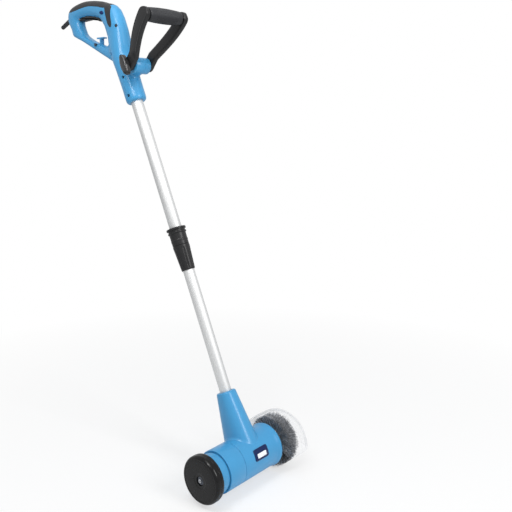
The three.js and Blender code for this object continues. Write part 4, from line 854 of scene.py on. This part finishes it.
def button_oval(x, size):
    """The button's outline at x: an ellipse of 5.6 by 3.3 mm, grown by size, tilted along the grip."""
    turn, c, s = circle(48), math.cos(BUTTON_TILT), math.sin(BUTTON_TILT)
    u, v = BUTTON_SIZE[0] * size * np.cos(turn), BUTTON_SIZE[1] * size * np.sin(turn)
    return flat_at(x, np.column_stack([u * c - v * s, u * s + v * c]) + BUTTON_MIDDLE)


# Room for the tube, the trigger, the bend protector, the clamp bolt, the screws' heads and the button
rooms = closed_mesh(
    "handle_rooms", pipe("z", 12.2, HANDLE - 5, HANDLE + 88.5, steps=64), plate(TRIGGER_SLOT, -8, 8),
    pipe("y", 5.6, -30, 8, BEND_SEAT, 40), pipe("x", 4.4, -30, 40, BOSS, 40),
    *(pipe("x", 3.5, seat - 0.3, 40, (0, forward, up + HANDLE), 32) for forward, up, seat, _ in BOLTS),
    np.stack([button_oval(9.3, 1.1), button_oval(40, 1.1)]))
soft = twin(handle_form, "soft_cover")
carve(soft, soft_region("soft_inside", 0), "INTERSECT")
carve(soft, rooms, "DIFFERENCE", keep=True)
carve(handle_form, soft_region("soft_outside", SOFT_SEAM), "DIFFERENCE")
carve(handle_form, rooms, "DIFFERENCE")
soft_rubber = moulded(
    "soft_rubber", (40, 41, 44), grain=1100.0, drift=0.12, gloss=0.5, marks=0.08, specular=0.35, bump=0.3)
dress(soft, "handle", soft_rubber, ("soft_grip",), 50)
for side, low, high in (("right", 0.12, 60), ("left", -60, -0.12)):
    half = twin(handle_form, f"handle_half_{side}")
    carve(half, closed_mesh(f"half_{side}", bar(low, high, (-40, HANDLE + 130), (200, 220))), "INTERSECT")
    dress(half, "handle", blue_plastic, (f"handle_shell_{side}",), 50)
bpy.data.objects.remove(handle_form)
for k, (forward, up, seat, tip) in enumerate(BOLTS, 1):
    cross_head(f"handle_bolt_{k}", 3.1, seat, (forward, up + HANDLE), "handle", dark_steel,
               (f"handle_screw_{k}",), shank=(1.7, tip))

# ---- Trigger and lock-off button ----
# The black moulded trigger hangs in its slot under the palm on a steel pin. The navy button, an oval peg
# with a low dome, is pushed in from the wheel side and comes back by its spring.
TRIGGER = [
    (-90, 234), (-75, 231), (-58, 224), (-40, 212), (-28.5, 203), (-25, 194.5), (-28, 191.5), (-43, 204.5),
    (-59, 213), (-77, 220), (-88, 225)]


def pillow(outline, half, edge, count=96, steps=5):
    """An outline thickened across x, its edges round: at depth d from the face it is drawn in by
    e - sqrt(e^2 - (e - d)^2)."""
    curve, turns = smooth_loop(outline, count), np.linspace(math.pi / 2, 0, steps + 1)
    return np.stack([flat_at(side * (half - edge + edge * math.sin(turn)),
                             grown(curve, edge * (math.cos(turn) - 1)))
                     for side, way in ((1, turns), (-1, turns[::-1])) for turn in way])


trigger_cover = closed_mesh("trigger_cover", pillow(TRIGGER, half=7.4, edge=2.0))
dress(trigger_cover, "trigger", black_plastic, ("trigger",), 40)
navy_plastic = moulded(
    "navy_plastic", (12, 38, 92), grain=900.0, drift=0.06, gloss=0.35, marks=0.05, specular=0.15, bump=0.1)
button = closed_mesh("button_cover", np.stack([button_oval(x, size) for x, size in (
    (12.5, 1), (18.7, 1), (19.2, 0.93), (19.45, 0.82), (19.2, 0.6), (19.1, 0.3))]))
dress(button, "lock_off_button", navy_plastic, ("lock_off_button",), 40)

# ---- Bend protector ----
# A ribbed sleeve of soft black rubber, gripped by the handle's halves where the cable enters. It gets
# thinner towards its end, which is open.
boot_profile = [(3.4, 5.2), (6.2, 5.2, 0.5), (6.2, 3.2, 0.5), (4.9, 3.2, 0.3), (4.9, -2, 0.3)]
for k in range(6):
    at, radius = -5 - 5.2 * k, 4.85 - 0.08 * k
    boot_profile += [(radius, at, 0.3), (radius - 0.6, at - 0.5, 0.3), (radius - 0.6, at - 1.7, 0.3),
                     (radius - 0.05, at - 2.2, 0.3)]
boot_profile += [(4.3, -38, 0.7), (3.4, -38, 0.3)]
turned_piece("bend_sleeve", boot_profile, 0.3, 3, "handle", soft_rubber, ("cable_bend_protector",),
             axis="y", steps=48, centre=BEND_SEAT)

# ---- Loop handle ----
# A second handle on the boss: two black moulded legs that spread apart, a bar between their round ends
# with a soft barrel grip on it, and a bolt with a wing knob that clamps it at any tilt.
TILT = math.radians(27.5)
LOOP_LENGTH, LEG_POWER = 112, 4.2


def on_boss(points):
    """Loop-handle millimetres (x, along the legs, up) to the shaft frame: tilted up, moved to the boss."""
    return tipped(points, TILT) + BOSS


def leg(foot, top, around=56):
    """One leg: rounded-rectangle sections, |x/a|^n + |z/b|^n = 1 with n = 4.2, straight for 24 mm and then
    spreading as a quarter sine. Round ends: b = r sqrt(1 - t^2) over the last radius. The outer face is sunk
    in by 0.9 exp(-(sin / 0.62)^8) of the section's angle."""
    straight, foot_radius, top_radius, half = 24, 11.5, 13.5, 6
    end, shank = np.cos(np.linspace(0.02, math.pi / 2, 12)), np.linspace(2, LOOP_LENGTH - 2, 44)
    along = np.concatenate([-foot_radius * end, shank, LOOP_LENGTH + top_radius * end[::-1]])[:, None]
    across = np.concatenate([foot_radius * np.sqrt(1 - end ** 2),
                             np.interp(shank, (straight, LOOP_LENGTH), (foot_radius, top_radius)),
                             top_radius * np.sqrt(1 - end[::-1] ** 2)])[:, None]
    share = np.clip((along - straight) / (LOOP_LENGTH - straight), 0, 1)
    turn, side = circle(around)[None, :], math.copysign(1, top)
    sunk = 0.9 * np.exp(-(np.sin(turn) / 0.62) ** 8) * (np.cos(turn) * side > 0) * (across > 8)
    x = foot + (top - foot) * np.sin(math.pi / 2 * share) - side * sunk
    x = x + half * bent(np.cos(turn), LEG_POWER) * np.clip(across / foot_radius, 0.55, 1)
    return xyz(x, along, across * bent(np.sin(turn), LEG_POWER))


loop_form = closed_mesh("loop_frame", on_boss(leg(27, 47)), on_boss(leg(-21, -47)),
                        on_boss(pipe("x", 8.5, -45, 45, (0, LOOP_LENGTH, 0))))
carve(loop_form, closed_mesh("bolt_room", on_boss(pipe("x", 4.2, -60, 60))), "DIFFERENCE")
dress(loop_form, "loop_handle", black_plastic, ("loop_handle_frame",), 40)
grip_profile = [(8.8, -39.4, 0.2), (12.2, -39.4, 1.2)]
for at in np.linspace(-37, 37, 75):
    radius = 14.5 - 1.7 * (at / 39) ** 2
    ribbed = abs(at) < 26 and int(round(at)) % 3 == 0
    grip_profile.append((radius - (0.8 if ribbed else 0), at, 0.3))
grip_profile += [(12.2, 39.4, 1.2), (8.8, 39.4, 0.2)]
grip_rings = on_boss(turned(rounded(grip_profile, 0.3, 2, closed=True), "x", 72, (0, LOOP_LENGTH, 0)))
piece("loop_grip_cover", grip_rings, "loop_handle", soft_rubber, ("loop_handle_grip",), sharp=60)

glossy_black = moulded(
    "glossy_black", (24, 24, 26), grain=500.0, drift=0.1, gloss=0.2, marks=0.05, specular=0.5, bump=0.08,
    coat=(0.3, 0.1))
knob_turn = circle(96)
knob_side = 9 * bent(np.cos(knob_turn), 2 / 0.9) * (1 - 0.12 * np.abs(np.sin(knob_turn)))
knob_wing = 21 * np.sin(knob_turn)
knob = np.stack([xyz(x, knob_side * size, knob_wing * wing) for x, size, wing in (
    (33.4, 0.97, 0.98), (33.8, 1, 1), (37, 1, 1), (41, 0.96, 0.99), (43.2, 0.86, 0.95), (44.1, 0.7, 0.85),
    (44.4, 0.45, 0.6))])
dress(closed_mesh("knob_cover", knob + BOSS), "clamp_knob", glossy_black, ("clamp_knob",), 40)

# ---- Carried-over CAD pieces ----
# The inner parts of the motor, the gearbox and the handle, and the plain small parts, keep their CAD
# solids. Each gets the finish of its material: bare metal, natural nylon, or black or white plastic.
natural_nylon = moulded(
    "natural_nylon", (222, 219, 208), grain=500.0, drift=0.05, gloss=0.42, marks=0.06, specular=0.5,
    bump=0.1)
copper = drawn("copper", (168, 96, 62), (206, 132, 92), gloss=0.3)
finishes = {
    bright_steel: ("wheel_axle", "front_bearing", "rear_bearing", "rotor_core", "planet_gear_1", "planet_gear_2",
                   "planet_gear_3", "trigger_pin", "clamp_bolt"),
    dark_steel: ("motor_shaft", "stator", "ring_gear", "planet_carrier"),
    aluminium: ("gearbox_plate", "brush_holder_plate"),
    copper: ("commutator",),
    natural_nylon: ("cooling_fan", "brush_hub", "shaft_collet", "capacitor"),
    black_plastic: ("carbon_brush_upper", "carbon_brush_lower", "gear_cover", "power_switch"),
    white_foil: ("terminal_block",)}
for node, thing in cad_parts.items():
    finish = next((material for material, nodes in finishes.items() if node in nodes), blue_plastic)
    if not thing.data.materials:
        thing.data.materials.append(finish)
    for slot in thing.material_slots:
        slot.material = finish
